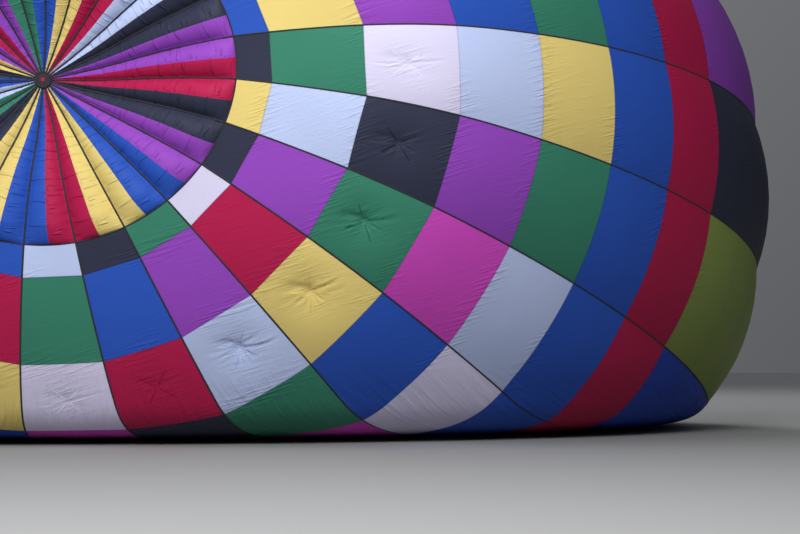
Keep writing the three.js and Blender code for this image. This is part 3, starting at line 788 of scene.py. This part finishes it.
def rod(start, end, radius, sides=16, soft=0.0):
    """A round bar turned between two places, its ends rounded off where soft is given."""
    start, end = Vector(start), Vector(end)
    middle = (start + end) / 2
    bpy.ops.mesh.primitive_cylinder_add(
        vertices=sides, radius=radius, depth=(end - start).length, location=middle,
    )
    piece = aim_to(bpy.context.object, end - start)
    return rounded(piece, soft) if soft else piece


def rounded(piece, width):
    edge = piece.modifiers.new("edges", "BEVEL")
    edge.width = width
    edge.segments = 2
    edge.limit_method = "ANGLE"
    edge.angle_limit = radians(50)
    only(piece)
    bpy.ops.object.modifier_apply(modifier="edges")
    return piece


def slab(size, middle, soft):
    bpy.ops.mesh.primitive_cube_add(size=1, location=middle)
    piece = bpy.context.object
    piece.scale = size
    return rounded(applied(piece), soft)


frame_run = []
for x, z, start in ((1, 1, 0), (-1, 1, 90), (-1, -1, 180), (1, -1, 270)):
    bend_middle = frame_middle + step(x * (frame_half_x - frame_bend), 0, z * (frame_half_z - frame_bend))
    for degrees in np.linspace(start, start + 90, 9):
        frame_run.append(bend_middle + round_axis(radians(degrees), frame_bend))
frame_parts = [tube_along(frame_run, tube_radius, closed=True, roundness=5)]
corner_signs = ((1, 1), (1, -1), (-1, -1), (-1, 1))
quarters = ((-1, -1), (-1, 1), (1, -1), (1, 1))
for x, z in corner_signs:
    corner = frame_middle + step(x * (frame_half_x - 0.012), 0, z * (frame_half_z - 0.012))
    frame_parts.append(slab((0.075, 0.05, 0.075), corner, 0.006))
    eye_spot = corner + step(-x * 0.028, -0.022, -z * 0.028)
    frame_parts.append(hoop(eye_spot, 0.026, 0.006, 24, 8, (0, 0, pi / 4 * x * z)))
for z in (1, -1):
    housing = frame_middle + step(z=z * frame_half_z)
    frame_parts.append(slab((0.09, 0.056, 0.05), housing, 0.008))
    for x in (-1, 1):
        frame_parts.append(rod(housing + step(x * 0.03, -0.032), housing + step(x * 0.03, 0.032), 0.007, 6))
for x, z in quarters:
    band = frame_middle + step(x * 0.52, 0, z * frame_half_z)
    frame_parts.append(rod(band - step(0.02), band + step(0.02), tube_radius + 0.003, 24, 0.002))
complete(joined(*frame_parts), "burner_frame_tube", stainless, "balloon", "frame_metal", "burner_frame")

# Flying wires: twenty-four stranded steel wires, six from each quarter of the mouth. Each has an eye
# and a pressed ferrule at both ends, and each six hang on one steel carabiner in a frame corner's eye.
wire_radius = 0.0032
wire_hold = 0.11
link_half = 0.014
first_tapes = (19, 1, 7, 13)
wire = Finish("wire_steel", Metallic=0.9, Roughness=0.42)
strands = wire.waves(wire.here, 120, "DIAGONAL", 0.5)
# Painted light: the strands' colour carries a painted highlight on their crowns and a painted shadow in the
# grooves between them.
painted_strand_shading = wire.mixed(strands, (0.22, 0.22, 0.23), (0.6, 0.6, 0.62))
wire_steel = wire.lead(Base_Color=painted_strand_shading, Normal=wire.bumped(0.6, 0.001, strands))
for number, ((x, z), first_tape) in enumerate(zip(corner_signs, first_tapes), start=1):
    shackle = frame_middle + step(x * (frame_half_x - 0.04), -tube_radius - 0.05, z * (frame_half_z - 0.04))
    link_run = []
    for t in np.linspace(0, 2 * pi, 29)[:-1]:
        link_run.append(shackle + step(link_half * cos(t) * x, 0.038 * sin(t), link_half * cos(t) * z))
    parts = [tube_along(link_run, 0.0055, closed=True)]
    sleeve = shackle + step(link_half * x, 0, link_half * z)
    parts.append(rod(sleeve - step(y=0.016), sleeve + step(y=0.016), 0.009, 6, 0.001))
    hook = shackle + step(y=-0.034)
    for i in range(6):
        start = Vector(gore_place(mouth_edge - wire_hold, first_tape + i, 0.0, 0.012))
        way = (start - hook).normalized()
        low, high = hook + step((i - 2.5) * 0.0075) + way * 0.03, start - way * 0.05
        parts.append(rod(low, high, wire_radius, 6))
        for end, inward in ((low, way), (high, -way)):
            parts.append(rod(end, end + inward * 0.035, 0.0062, 8, 0.001))
            wire_eye = hoop(end - inward * 0.014, 0.013, 0.003, 16, 6)
            parts.append(aim_to(wire_eye, way.cross(step(x, 0.3, z))))
    node = f"flying_wires_{number}"
    complete(joined(*parts), node + "_stranded", wire_steel, "balloon", "wire_steel", node)

# Gimbal ring: a bent hoop of stainless tube that turns on two upright pins in the frame, with
# bearings at its sides for the burner's pins.
hoop_middle = step(0, frame_middle.y, frame_middle.z)
hoop_half = box_of("gimbal_ring")[1]
hoop_tube = hoop_half.y
hoop_radius = hoop_half.x - hoop_tube
lying = (pi / 2, 0, 0)
hoop_parts = [hoop(hoop_middle, hoop_radius, hoop_tube * 0.9, 96, 16, lying)]
for z in (-1, 1):
    near_hoop = hoop_middle + step(z=z * (hoop_radius - 0.01))
    near_frame = hoop_middle + step(z=z * (frame_half_z - tube_radius - 0.001))
    hoop_parts.append(rod(near_hoop, near_frame, 0.013, 20, 0.002))
    hoop_parts.append(rod(near_hoop, near_hoop + step(z=z * 0.045), 0.024, 24, 0.004))
    hoop_parts.append(rod(near_frame - step(z=z * 0.012), near_frame, 0.021, 24, 0.002))
for x in (-1, 1):
    bearing = hoop_middle + step(x * (hoop_radius + 0.002))
    hoop_parts.append(rod(bearing - step(x * 0.012), bearing + step(x * 0.018), 0.0235, 24, 0.003))
complete(joined(*hoop_parts), "gimbal_ring_hoop", stainless, "gimbal", "frame_metal", "gimbal_ring")

# Burner: four open cans of thin stainless sheet, pierced near the foot, with a coil of vapour tube
# in each. They stand on one valve block with blast levers, gauges and pilot valves.
burner_low, burner_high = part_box("burner")
can_spread = 0.158
can_radius = 0.13
can_foot = frame_middle.y + 0.09
can_mouth = burner_low.y
can_deep = can_foot - can_mouth
coil_turns = 6
steps_per_turn = 24
jet_reach = 0.062
to_mouth_way = (0, -1, 0)
hot = Finish("hot_steel", Metallic=1)
blotch = hot.noise(hot.here, 9, 4)
heat = hot.spread(hot.add("SeparateXYZ", {0: hot.here})[1], can_foot, can_mouth)
tempered = hot.reckon("MULTIPLY_ADD", blotch, 0.35, hot.reckon("SUBTRACT", heat, 0.18))
tempers = hot.add("ValToRGB", {0: tempered})[0]
stops = tempers.node.color_ramp.elements
stops[0].color = (0.6, 0.6, 0.61, 1)
stops[1].color = (0.10, 0.12, 0.22, 1)
stops.new(0.45).color = (0.58, 0.47, 0.30, 1)
stops.new(0.65).color = (0.42, 0.22, 0.16, 1)
stops.new(0.82).color = (0.20, 0.14, 0.26, 1)
hot_steel = hot.lead(Base_Color=tempers, Roughness=hot.reckon("MULTIPLY_ADD", blotch, 0.3, 0.14))

can_parts = []
coil_parts = []
for x, z in quarters:
    foot = step(x * can_spread, can_foot, frame_middle.z + z * can_spread)
    can_parts.append(drawn_out(
        48, foot, to_mouth_way, (0.03, 0.0), (can_radius - 0.012, 0.0), (can_radius - 0.002, 0.008),
        (can_radius - 0.002, can_deep - 0.008), (can_radius, can_deep - 0.006), (can_radius, can_deep),
        (can_radius - 0.005, can_deep), (can_radius - 0.005, can_deep - 0.01), (can_radius - 0.005, 0.012),
        (0.03, 0.012),
    ))
    for i in range(24):
        spot = foot + round_axis(2 * pi * i / 24) * (can_radius - 0.001)
        can_parts.append(rod(spot - step(y=0.05), spot - step(y=0.075), 0.006, 8))
    coil = []
    for i in range(coil_turns * steps_per_turn + 1):
        reach = can_radius - 0.022 - 0.018 * sin(pi * i / (coil_turns * steps_per_turn)) ** 2
        rise = 0.06 + 0.036 * i / steps_per_turn
        coil.append(foot + round_axis(2 * pi * i / steps_per_turn, reach) - step(y=rise))
    coil_parts.append(tube_along(coil, 0.0075, roundness=1))
    jet_ring = foot - step(y=0.04)
    coil_parts.append(hoop(jet_ring, jet_reach, 0.009, 36, 10, lying))
    for i in range(12):
        jet = jet_ring + round_axis(2 * pi * i / 12, jet_reach)
        coil_parts.append(rod(jet, jet - step(y=0.016), 0.003, 8))
    coil_parts.append(drawn_out(
        20, foot, to_mouth_way, (0.014, 0), (0.014, 0.05), (0.02, 0.06), (0.02, 0.085), (0.016, 0.085),
        (0.016, 0.07),
    ))
complete(joined(*can_parts), "burner_cans", hot_steel, "burner", "burner_metal", "burner")
complete(joined(*coil_parts), "burner_coils", hot_steel, "burner", "burner_metal")

block_low = can_foot - 0.01
block_back = burner_high.y
block_middle = step(0, (block_low + block_back) / 2, frame_middle.z)
block_deep = block_back - block_low
block_parts = []
for x, z in quarters:
    seat = block_middle + step(x * can_spread, 0, z * can_spread)
    block_parts.append(slab((0.15, block_deep * 0.8, 0.15), seat, 0.008))
    block_parts.append(rod(seat - step(y=0.02), seat + step(y=0.034), 0.04, 24, 0.004))
for side in (-1, 1):
    block_parts.append(slab((2 * can_spread, 0.036, 0.05), block_middle + step(z=side * can_spread), 0.005))
    block_parts.append(slab((0.05, 0.036, 2 * can_spread), block_middle + step(side * can_spread), 0.005))
cross_middle = hoop_middle + step(y=0.045)
block_parts.append(slab((0.034, 0.108, 2 * can_spread), cross_middle, 0.005))
block_parts.append(slab((0.56, 0.108, 0.034), cross_middle, 0.005))
pin_end = step(hoop_radius - 0.024)
block_parts.append(rod(hoop_middle - pin_end, hoop_middle + pin_end, 0.0135, 20, 0.002))
for x, side in quarters:
    elbow = block_middle + step(x * 0.235, 0, side * can_spread)
    block_parts.append(rod(elbow - step(x * 0.03), elbow + step(x * 0.002), 0.017, 6, 0.002))
complete(joined(*block_parts), "burner_block", stainless, "burner", "burner_metal")

lever_long = 0.12
brass = metal("brass", (0.62, 0.44, 0.18), 0.3)
paint = Finish("lever_red", Roughness=0.42)
worn = paint.mixed(paint.noise(paint.here, 45, 5), (0.5, 0.03, 0.02), (0.34, 0.02, 0.02))
lever_red = paint.lead(Base_Color=worn)
valve_parts = []
lever_parts = []
for x, z in quarters:
    seat = step(x * can_spread, block_back - 0.012, frame_middle.z + z * can_spread)
    valve_parts.append(rod(seat - step(y=0.02), seat + step(y=0.010), 0.026, 6, 0.003))
    lever = []
    for t in np.linspace(0, lever_long, 9):
        lever.append(seat + step(-x * t, -0.002 + 0.006 * sin(pi * t / lever_long), -z * 0.2 * t))
    lever_parts.append(tube_along(lever, 0.006, roundness=1))
    bpy.ops.mesh.primitive_uv_sphere_add(segments=16, ring_count=10, radius=0.009, location=lever[-1])
    lever_parts.append(bpy.context.object)
for side in (-1, 1):
    gauge = step(0, block_back - 0.03, frame_middle.z + side * can_spread)
    valve_parts.append(drawn_out(
        32, gauge, (0, 1, 0), (0.029, 0), (0.029, 0.022), (0.031, 0.024), (0.031, 0.028), (0.027, 0.028),
        (0.027, 0.024),
    ))
complete(joined(*valve_parts), "burner_valves", brass, "burner", "burner_metal")
complete(joined(*lever_parts), "blast_levers", lever_red, "burner", "burner_metal")

# Uprights: four flexible rods in padded sleeves of black cloth, each laced shut along its length.
# They stand in the frame's corners and in the basket's rim.
sleeve_radius = 0.0215


def padded_cloth(name, colour, weave=260, roughness=0.85, wear=0.3):
    cloth = Finish(name, Roughness=roughness, Sheen_Weight=0.2)
    here = cloth.here
    threads = cloth.times(cloth.waves(here, weave, "X", 0.3), cloth.waves(here, weave, "Y", 0.3))
    pale = tinted(colour, 1 + 2.2 * wear, 0.02 * wear)
    dusty = cloth.mixed(cloth.noise(here, 6, 6), colour, pale)
    folds = cloth.bumped(0.4, 0.012, cloth.noise(here, 14, 2))
    return cloth.lead(Base_Color=dusty, Normal=cloth.bumped(0.4, 0.0008, threads, folds))


sleeve_black = padded_cloth("sleeve_black", (0.03, 0.03, 0.034))
for number, (x, z) in enumerate(corner_signs, start=1):
    low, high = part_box(f"upright_{number}")
    far_x = max(abs(low.x), abs(high.x))
    far_z = max(abs(low.z - frame_middle.z), abs(high.z - frame_middle.z))
    in_socket = tube_radius - 0.05
    top_end = step(x * (frame_half_x + in_socket), low.y, frame_middle.z + z * (frame_half_z + in_socket))
    foot_end = step(x * (far_x - 0.022), high.y, frame_middle.z + z * (far_z - 0.022))
    turn = 2 * pi * np.arange(20) / 20
    along_rod, round_rod = np.meshgrid(np.linspace(0, 1, 97), turn, indexing="ij")
    quilted = sleeve_radius + 0.0016 * np.sin(along_rod * pi * 26) ** 2
    ends = np.minimum(1, np.minimum(along_rod, 1 - along_rod) / 0.02 + 0.45)
    from_lacing = np.mod(round_rod + pi / 2, 2 * pi) - pi
    reach = (quilted - 0.004 * np.exp(-((from_lacing / 0.22) ** 2))) * ends
    middle = np.array(top_end) + along_rod[..., None] * np.array(foot_end - top_end)
    outward_way = np.stack([np.cos(round_rod), np.zeros_like(round_rod), np.sin(round_rod)], axis=-1)
    sleeve = middle + reach[..., None] * outward_way
    upright = loft(f"upright_{number}_sleeve", sleeve[None, :, ::-1], sleeve_black)
    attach(upright, "balloon")
    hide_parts(f"upright_{number}")

# Basket rim: a thick pad of brown suede laced over the top rod all round. The lacing draws it in
# every few centimetres.
rim_middle, rim_half = box_of("basket_rim")
basket_z = rim_middle.z
rim_pad_half = 0.0375


def outline_round(half_x, half_z, corner, count):
    """Places and outward ways at even steps round a rectangle with round corners."""
    straight_x, straight_z, bend = 2 * (half_x - corner), 2 * (half_z - corner), pi / 2 * corner
    stretches = (straight_z, straight_x, straight_z, straight_x)
    faces = [Vector(way) for way in ((1, 0), (0, 1), (-1, 0), (0, -1))]
    total = sum(stretches) + 4 * bend
    places, ways = [], []
    for i in range(count):
        left = total * i / count
        for quarter, straight in enumerate(stretches):
            if left < straight + bend:
                break
            left -= straight + bend
        way, forth = faces[quarter], faces[(quarter + 1) % 4]
        deep = half_x if quarter % 2 == 0 else half_z
        if left < straight:
            place = way * deep + forth * (left - straight / 2)
        else:
            turn = (left - straight) / corner
            middle = way * (deep - corner) + forth * (straight / 2)
            way = way * cos(turn) + forth * sin(turn)
            place = middle + way * corner
        places.append(place)
        ways.append(way)
    return np.array(places), np.array(ways), total


def fuller(value):
    """A sine or cosine that rounds a section out towards a square."""
    return copysign(abs(value) ** 0.75, value)


rim_count = 680
lace_turns = 170
rim_sides = 24
rim_outline = (rim_half.x - rim_pad_half, rim_half.z - rim_pad_half, 0.122)
rim_places, rim_ways, rim_round = outline_round(*rim_outline, rim_count)
rim_at = np.arange(rim_count) / rim_count * rim_round
lace_gap = rim_round / lace_turns
pinched = 1 - 0.09 * np.exp(-((np.mod(rim_at, lace_gap) / lace_gap - 0.5) / 0.16) ** 2)
rim_lines = []
for corner in range(rim_sides):
    turn = 2 * pi * corner / rim_sides
    plump = pinched * (1 + 0.015 * np.sin(rim_at * 7.3 + 2 * corner) * np.sin(rim_at * 2.1))
    spot = rim_places + rim_ways * (rim_pad_half * fuller(cos(turn)) * plump)[:, None]
    up = rim_half.y * fuller(sin(turn)) * plump
    rim_lines.append(np.stack([spot[:, 0], rim_middle.y + up, basket_z + spot[:, 1]], axis=-1))
suede = padded_cloth("rim_suede", (0.13, 0.062, 0.03), 420, 0.95, 0.55)
rim = closed_loft("basket_rim_pad", rim_lines, suede)
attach(rim, "balloon")
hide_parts("basket_rim")

# Lacing: a dark leather lace wound round the rim pad and through the top of the weave.
lace_sides = 14
lace_depth = 0.915
lace_half = 0.0042
lace_proud = 0.0015
lace_rings = []
for i in range(lace_turns):
    index = int((i + 0.5) * rim_count / lace_turns) % rim_count
    centre, way = rim_places[index], rim_ways[index]
    forth = np.array([-way[1], way[0]])
    ring = []
    for corner in range(lace_sides + 1):
        turn = 2 * pi * corner / lace_sides
        out = (rim_pad_half * lace_depth + lace_proud) * fuller(cos(turn))
        up = (rim_half.y * lace_depth + lace_proud) * fuller(sin(turn))
        section = []
        for side, lift in ((-1, 0.0), (-0.5, 0.0025), (0.5, 0.0025), (1, 0.0)):
            spot = centre + way * (out * (1 + lift / 0.037)) + forth * (0.010 * sin(turn) + side * lace_half)
            section.append((spot[0], rim_middle.y + up * (1 + lift / 0.04), basket_z + spot[1]))
        ring.append(section)
    lace_rings.append(ring)
lace_leather = padded_cloth("lace_leather", (0.05, 0.024, 0.014), 500, 0.6, 0.4)
lacing = loft("rim_lacing", np.array(lace_rings), lace_leather, closed_ends=False)
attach(lacing, "balloon")

# Basket walls: willow rods woven in and out of upright canes, course on course, round the basket
# and its partitions. Darker courses band the middle, and a thick twisted border ends them.
course_height = 0.0195
stake_gap = 0.06
dark_courses = (15, 16, 17, 20, 21, 31, 32, 35, 36, 37)


def willow(name, colour):
    """Willow whose UV map runs along the rod and across the courses, in metres."""
    cane = Finish(name, Roughness=0.55, Coat_Weight=0.15)
    reckon, times = cane.reckon, cane.times
    along, up, _ = cane.add("SeparateXYZ", {0: cane.cut})
    level = reckon("DIVIDE", up, course_height)
    course = reckon("FLOOR", level)
    within = reckon("FRACT", level)
    rod_round = times(times(within, reckon("SUBTRACT", 1, within)), 4)
    over = reckon("COSINE", times(reckon("ADD", reckon("DIVIDE", along, stake_gap), course), pi))
    # Painted shade: the colour is darkened in the gaps between courses and where a rod passes behind a stake.
    shadow = times(cane.spread(rod_round, 0.05, 0.7, 0.22), cane.spread(over, -0.9, 0.4, 0.4))
    rod_end = reckon("FLOOR", reckon("ADD", times(along, 1.1), times(course, 0.37)))
    rod_seed = cane.add("CombineXYZ", {0: times(rod_end, 3.7), 1: times(course, 7.3)})[0]
    fibres = cane.noise(cane.cut, (14, 420, 1), 3)
    rod_tone = cane.spread(cane.noise(rod_seed, 1, 1), 0.32, 0.68)
    tone = cane.mixed(rod_tone, tinted(colour, 0.55), tinted(colour, 1.35))
    tone = cane.mixed(times(fibres, 0.5), tone, tinted(colour, 0.45))
    tone = cane.mixed(shadow, tinted(colour, 0.12), tone)
    coarse = cane.bumped(0.8, 0.006, times(rod_round, reckon("MULTIPLY_ADD", over, 0.5, 0.6)))
    return cane.lead(Base_Color=tone, Normal=cane.bumped(0.5, 0.0012, fibres, coarse))


buff_willow = willow("buff_willow", (0.42, 0.235, 0.095))
brown_willow = willow("brown_willow", (0.15, 0.065, 0.028))


def woven(name, places, ways, length, low, high):
    """A face of weave, all round: rods pass in front of one stake and behind the next, and the next
    course the other way. Each course has a row of places at its foot and one at its middle."""
    courses = round((high - low) / course_height)
    rows = np.arange(2 * courses + 1)
    level = np.linspace(low, high, len(rows))
    course = np.minimum(rows // 2, courses - 1)
    proud = (rows % 2).astype(float)
    over = np.cos(pi * (np.arange(len(places))[None, :] / 2 + course[:, None]))
    lift = 0.0075 * over * (0.25 + 0.75 * proud[:, None]) - 0.0065 * (1 - proud[:, None])
    spot = places[None] + ways[None] * lift[..., None]
    height = np.repeat(level[:, None], len(places), axis=1)
    grid = np.stack([spot[..., 0], height, spot[..., 1]], axis=-1)
    u = np.repeat((np.arange(len(places)) / len(places) * length)[None], len(level), axis=0)
    cut = np.stack([u, (height - low) * course_height * courses / (high - low)], axis=-1)
    grid = np.concatenate([grid, grid[:, :1]], axis=1)
    cut = np.concatenate([cut, cut[:, :1] + [[[length, 0]]]], axis=1)
    banded = np.isin(course[:-1], dark_courses).astype(int)
    return grid_mesh(name, grid, cut, banded, [buff_willow, brown_willow])


wall_thick = 0.045
wall_low, wall_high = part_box("basket_wall")
wall_half = box_of("basket_wall")[1]
stake_steps = 4 * round(4 * (wall_half.x + wall_half.z) / stake_gap / 2)
for side, inset, corner, facing in (("outside", 0.008, 0.152, 1), ("inside", wall_thick - 0.008, 0.123, -1)):
    places, ways, length = outline_round(wall_half.x - inset, wall_half.z - inset, corner, stake_steps)
    places[:, 1] += basket_z
    wall = woven(
        f"basket_wall_{side}", places[::facing], facing * ways[::facing], length, wall_low.y, wall_high.y,
    )
    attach(wall, "balloon")
    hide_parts("basket_wall")

border_willow = padded_cloth("border_willow", (0.17, 0.08, 0.034), 30, 0.6, 0.5)
border_radius = 0.0235
border_twists = 96
border_steps = 560
border_sides = 12
border_outline = (wall_half.x - wall_thick / 2, wall_half.z - wall_thick / 2, 0.137)
places, ways, _ = outline_round(*border_outline, border_steps)
turn_at = 2 * pi * np.arange(border_steps) / border_steps * border_twists
for name, y in (("foot_border", wall_high.y - 0.024), ("top_border", wall_low.y + 0.022)):
    border_lines = []
    for i in range(border_sides):
        turn = 2 * pi * i / border_sides
        reach = border_radius * (0.86 + 0.14 * np.abs(np.cos(1.5 * (turn - turn_at))))
        spot = places + ways * (reach * cos(turn))[:, None]
        border_lines.append(np.stack([spot[:, 0], y + reach * sin(turn), basket_z + spot[:, 1]], axis=-1))
    border = closed_loft(name, border_lines, border_willow)
    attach(border, "balloon")

# Partitions: two T-shaped walls of the same weave, one at each end, with a padded top.
partition_half = 0.010
pad_radius = 0.0175
for number, side in ((1, -1), (2, 1)):
    low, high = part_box(f"partition_{number}")
    middle_x = side * (min(abs(low.x), abs(high.x)) + 0.018)
    far_x = side * max(abs(low.x), abs(high.x))
    half = (high.z - low.z) / 2 - 0.002
    thin = partition_half
    near, past = middle_x - side * thin, middle_x + side * thin
    corners = [
        (near, -half), (near, half), (past, half), (past, thin),
        (far_x, thin), (far_x, -thin), (past, -thin), (past, -half),
    ]
    places, ways = [], []
    for (ax, az), (bx, bz) in zip(corners, corners[1:] + corners[:1]):
        run = Vector((bx, basket_z + bz)) - Vector((ax, basket_z + az))
        count = max(1, round(run.length / (stake_gap / 2)))
        way = Vector((run.y, -run.x)).normalized() * -side
        for i in range(count):
            places.append(Vector((ax, basket_z + az)) + run * (i / count))
            ways.append(way)
    length = stake_gap / 2 * len(places)
    places, ways = np.array(places)[::-side], np.array(ways)[::-side]
    top = low.y + 0.012
    partition = woven(f"partition_{number}_woven", places, ways, length, top, high.y)
    across = [(middle_x, top, basket_z - half), (middle_x, top, basket_z + half)]
    outward_run = [(middle_x, top, basket_z), (far_x - side * 0.002, top, basket_z)]
    partition_cap = joined(tube_along(across, pad_radius), tube_along(outward_run, pad_radius))
    complete(partition_cap, f"partition_{number}_pad", suede, "balloon", "rim_suede")
    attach(partition, "balloon")
    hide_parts(f"partition_{number}")

# Rope handles: eight short loops of twisted rope through the long walls, for lifting the basket.
handle_rope = padded_cloth("handle_rope", (0.42, 0.34, 0.22), 160, 0.9, 0.1)
handle_top = wall_low.y + 0.30
handle_parts = []
for side in (-1, 1):
    for x in (-1.35, -0.45, 0.45, 1.35):
        at_wall = basket_z + side * (wall_half.z - 0.012)
        run = []
        for t in np.linspace(0, pi, 25):
            run.append((x - 0.11 * cos(t), handle_top + 0.05 * sin(t), at_wall + side * 0.010 * sin(t)))
        handle_parts.append(tube_along(run, 0.009, roundness=1))
complete(joined(*handle_parts), "rope_handles", handle_rope, "balloon", "wicker")

# Floor and runners: a varnished plywood board lashed under the walls, on three hardwood skids.


def varnished_wood(name, colour, grain):
    wood = Finish(name)
    rings = wood.noise(wood.here, grain, 6, 1.2)
    scuffs = wood.noise(wood.here, 5, 6)
    tone = wood.mixed(rings, tinted(colour, 0.5), colour)
    worn = wood.mixed(wood.spread(scuffs, 0.55, 0.75), tone, (0.33, 0.23, 0.13))
    rough = wood.reckon("MULTIPLY_ADD", scuffs, 0.5, 0.25)
    return wood.lead(Base_Color=worn, Roughness=rough, Normal=wood.bumped(0.3, 0.001, rings))


plywood = varnished_wood("floor_plywood", (0.46, 0.29, 0.13), (3, 60, 30))
hardwood = varnished_wood("runner_hardwood", (0.30, 0.17, 0.075), (50, 50, 2.5))
for node, material in [("basket_floor", plywood)] + [(f"runner_{i}", hardwood) for i in (1, 2, 3)]:
    cad_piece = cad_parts[node]
    cad_piece.data.materials.clear()
    cad_piece.data.materials.append(material)

# Fuel cylinders: four steel cylinders in padded red jackets, strapped to the walls of the pilot's
# place. The valve, with its outlet and hand wheel, stands in the collar on top.
jacket_red = padded_cloth("jacket_red", (0.22, 0.012, 0.018), 220, 0.8, 0.25)
strap_heights = (0.26, 0.54)
strap_wide = 0.04
for number in range(1, 5):
    node = f"fuel_cylinder_{number}"
    middle, half = box_of(node)
    foot = middle + step(y=half.y)
    tall = 2 * half.y
    girth = half.x
    steel_body = drawn_out(
        48, foot, to_mouth_way, (girth - 0.03, 0.0), (girth - 0.022, 0.0), (girth - 0.022, 0.04),
        (girth - 0.012, 0.07), (girth - 0.012, tall - 0.20), (girth - 0.024, tall - 0.16),
        (girth - 0.07, tall - 0.115), (0.05, tall - 0.092), (0.04, tall - 0.088), (0.02, tall - 0.088),
    )
    collar = drawn_out(
        40, foot, to_mouth_way, (0.112, tall - 0.11), (0.115, tall - 0.09), (0.115, tall - 0.004),
        (0.113, tall), (0.109, tall), (0.108, tall - 0.004), (0.108, tall - 0.10),
    )
    neck = foot - step(y=tall - 0.09)
    valve = drawn_out(
        12, neck, to_mouth_way, (0.02, 0), (0.02, 0.02), (0.013, 0.022), (0.013, 0.045), (0.018, 0.047),
        (0.018, 0.06),
    )
    outlet = rod(neck - step(y=0.034), neck + step(0.05, -0.034), 0.009, 12, 0.001)
    wheel_spot = neck - step(y=0.068)
    hand_wheel = hoop(wheel_spot, 0.024, 0.006, 24, 8, lying)
    spokes = rod(wheel_spot - step(0.022), wheel_spot + step(0.022), 0.004, 8)
    complete(joined(steel_body, collar), node + "_steel", stainless, "balloon", "frame_metal", node)
    valve_set = joined(valve, outlet, hand_wheel, spokes)
    complete(valve_set, f"cylinder_valve_{number}", brass, "balloon", "frame_metal")

    shoulder = [tall - 0.20, tall - 0.18, tall - 0.172]
    up = np.concatenate([[0.052], np.linspace(0.06, tall - 0.215, 43), shoulder])
    level, about = np.meshgrid(up, 2 * pi * np.arange(48) / 48, indexing="ij")
    bands = np.abs(np.sin((level - 0.06) / (tall - 0.27) * pi * 7)) ** 0.4
    quilts = np.abs(np.sin(about * 6)) ** 0.4
    reach = girth - 0.0115 + 0.010 * bands * quilts
    reach = np.where(level > tall - 0.20, girth - 0.012 - (level - tall + 0.2) * 0.35, reach)
    jacket_places = [foot.x + reach * np.cos(about), foot.y - level, foot.z + reach * np.sin(about)]
    jacket_rings = np.stack(jacket_places, axis=-1)[None]
    jacket = loft(f"cylinder_jacket_{number}", jacket_rings, jacket_red, closed_ends=False)
    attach(jacket, "balloon")

    wall_side = 1 if foot.z > basket_z else -1
    to_wall = wall_high.z - wall_thick - foot.z if wall_side > 0 else foot.z - wall_low.z - wall_thick
    strap_reach = girth + 0.001
    belt = [(-strap_reach, to_wall - 0.004), (-strap_reach, 0.06)]
    belt += [(-strap_reach * cos(t), -strap_reach * sin(t)) for t in np.linspace(0, pi, 29)]
    belt += [(strap_reach, 0.06), (strap_reach, to_wall - 0.004)]
    straps = []
    for level in strap_heights:
        rings = []
        for i, (x, q) in enumerate(belt):
            before, after = belt[max(0, i - 1)], belt[min(len(belt) - 1, i + 1)]
            out = Vector((-(after[1] - before[1]), after[0] - before[0])).normalized() * -0.0015
            rings.append([
                (foot.x + x + side * out.x, foot.y - level - rise, foot.z + wall_side * (q + side * out.y))
                for side, rise in ((-1, 0), (1, 0), (1, strap_wide), (-1, strap_wide))
            ])
        straps.append(loft("belt", np.array(rings)[None], tape_black, smooth_shade=False))
        buckle = foot + step(0.03, -level - strap_wide / 2, -wall_side * strap_reach)
        straps.append(slab((0.05, 0.05, 0.005), buckle, 0.002))
    complete(joined(*straps), f"cylinder_straps_{number}", tape_black, "balloon", "cylinder_cover")
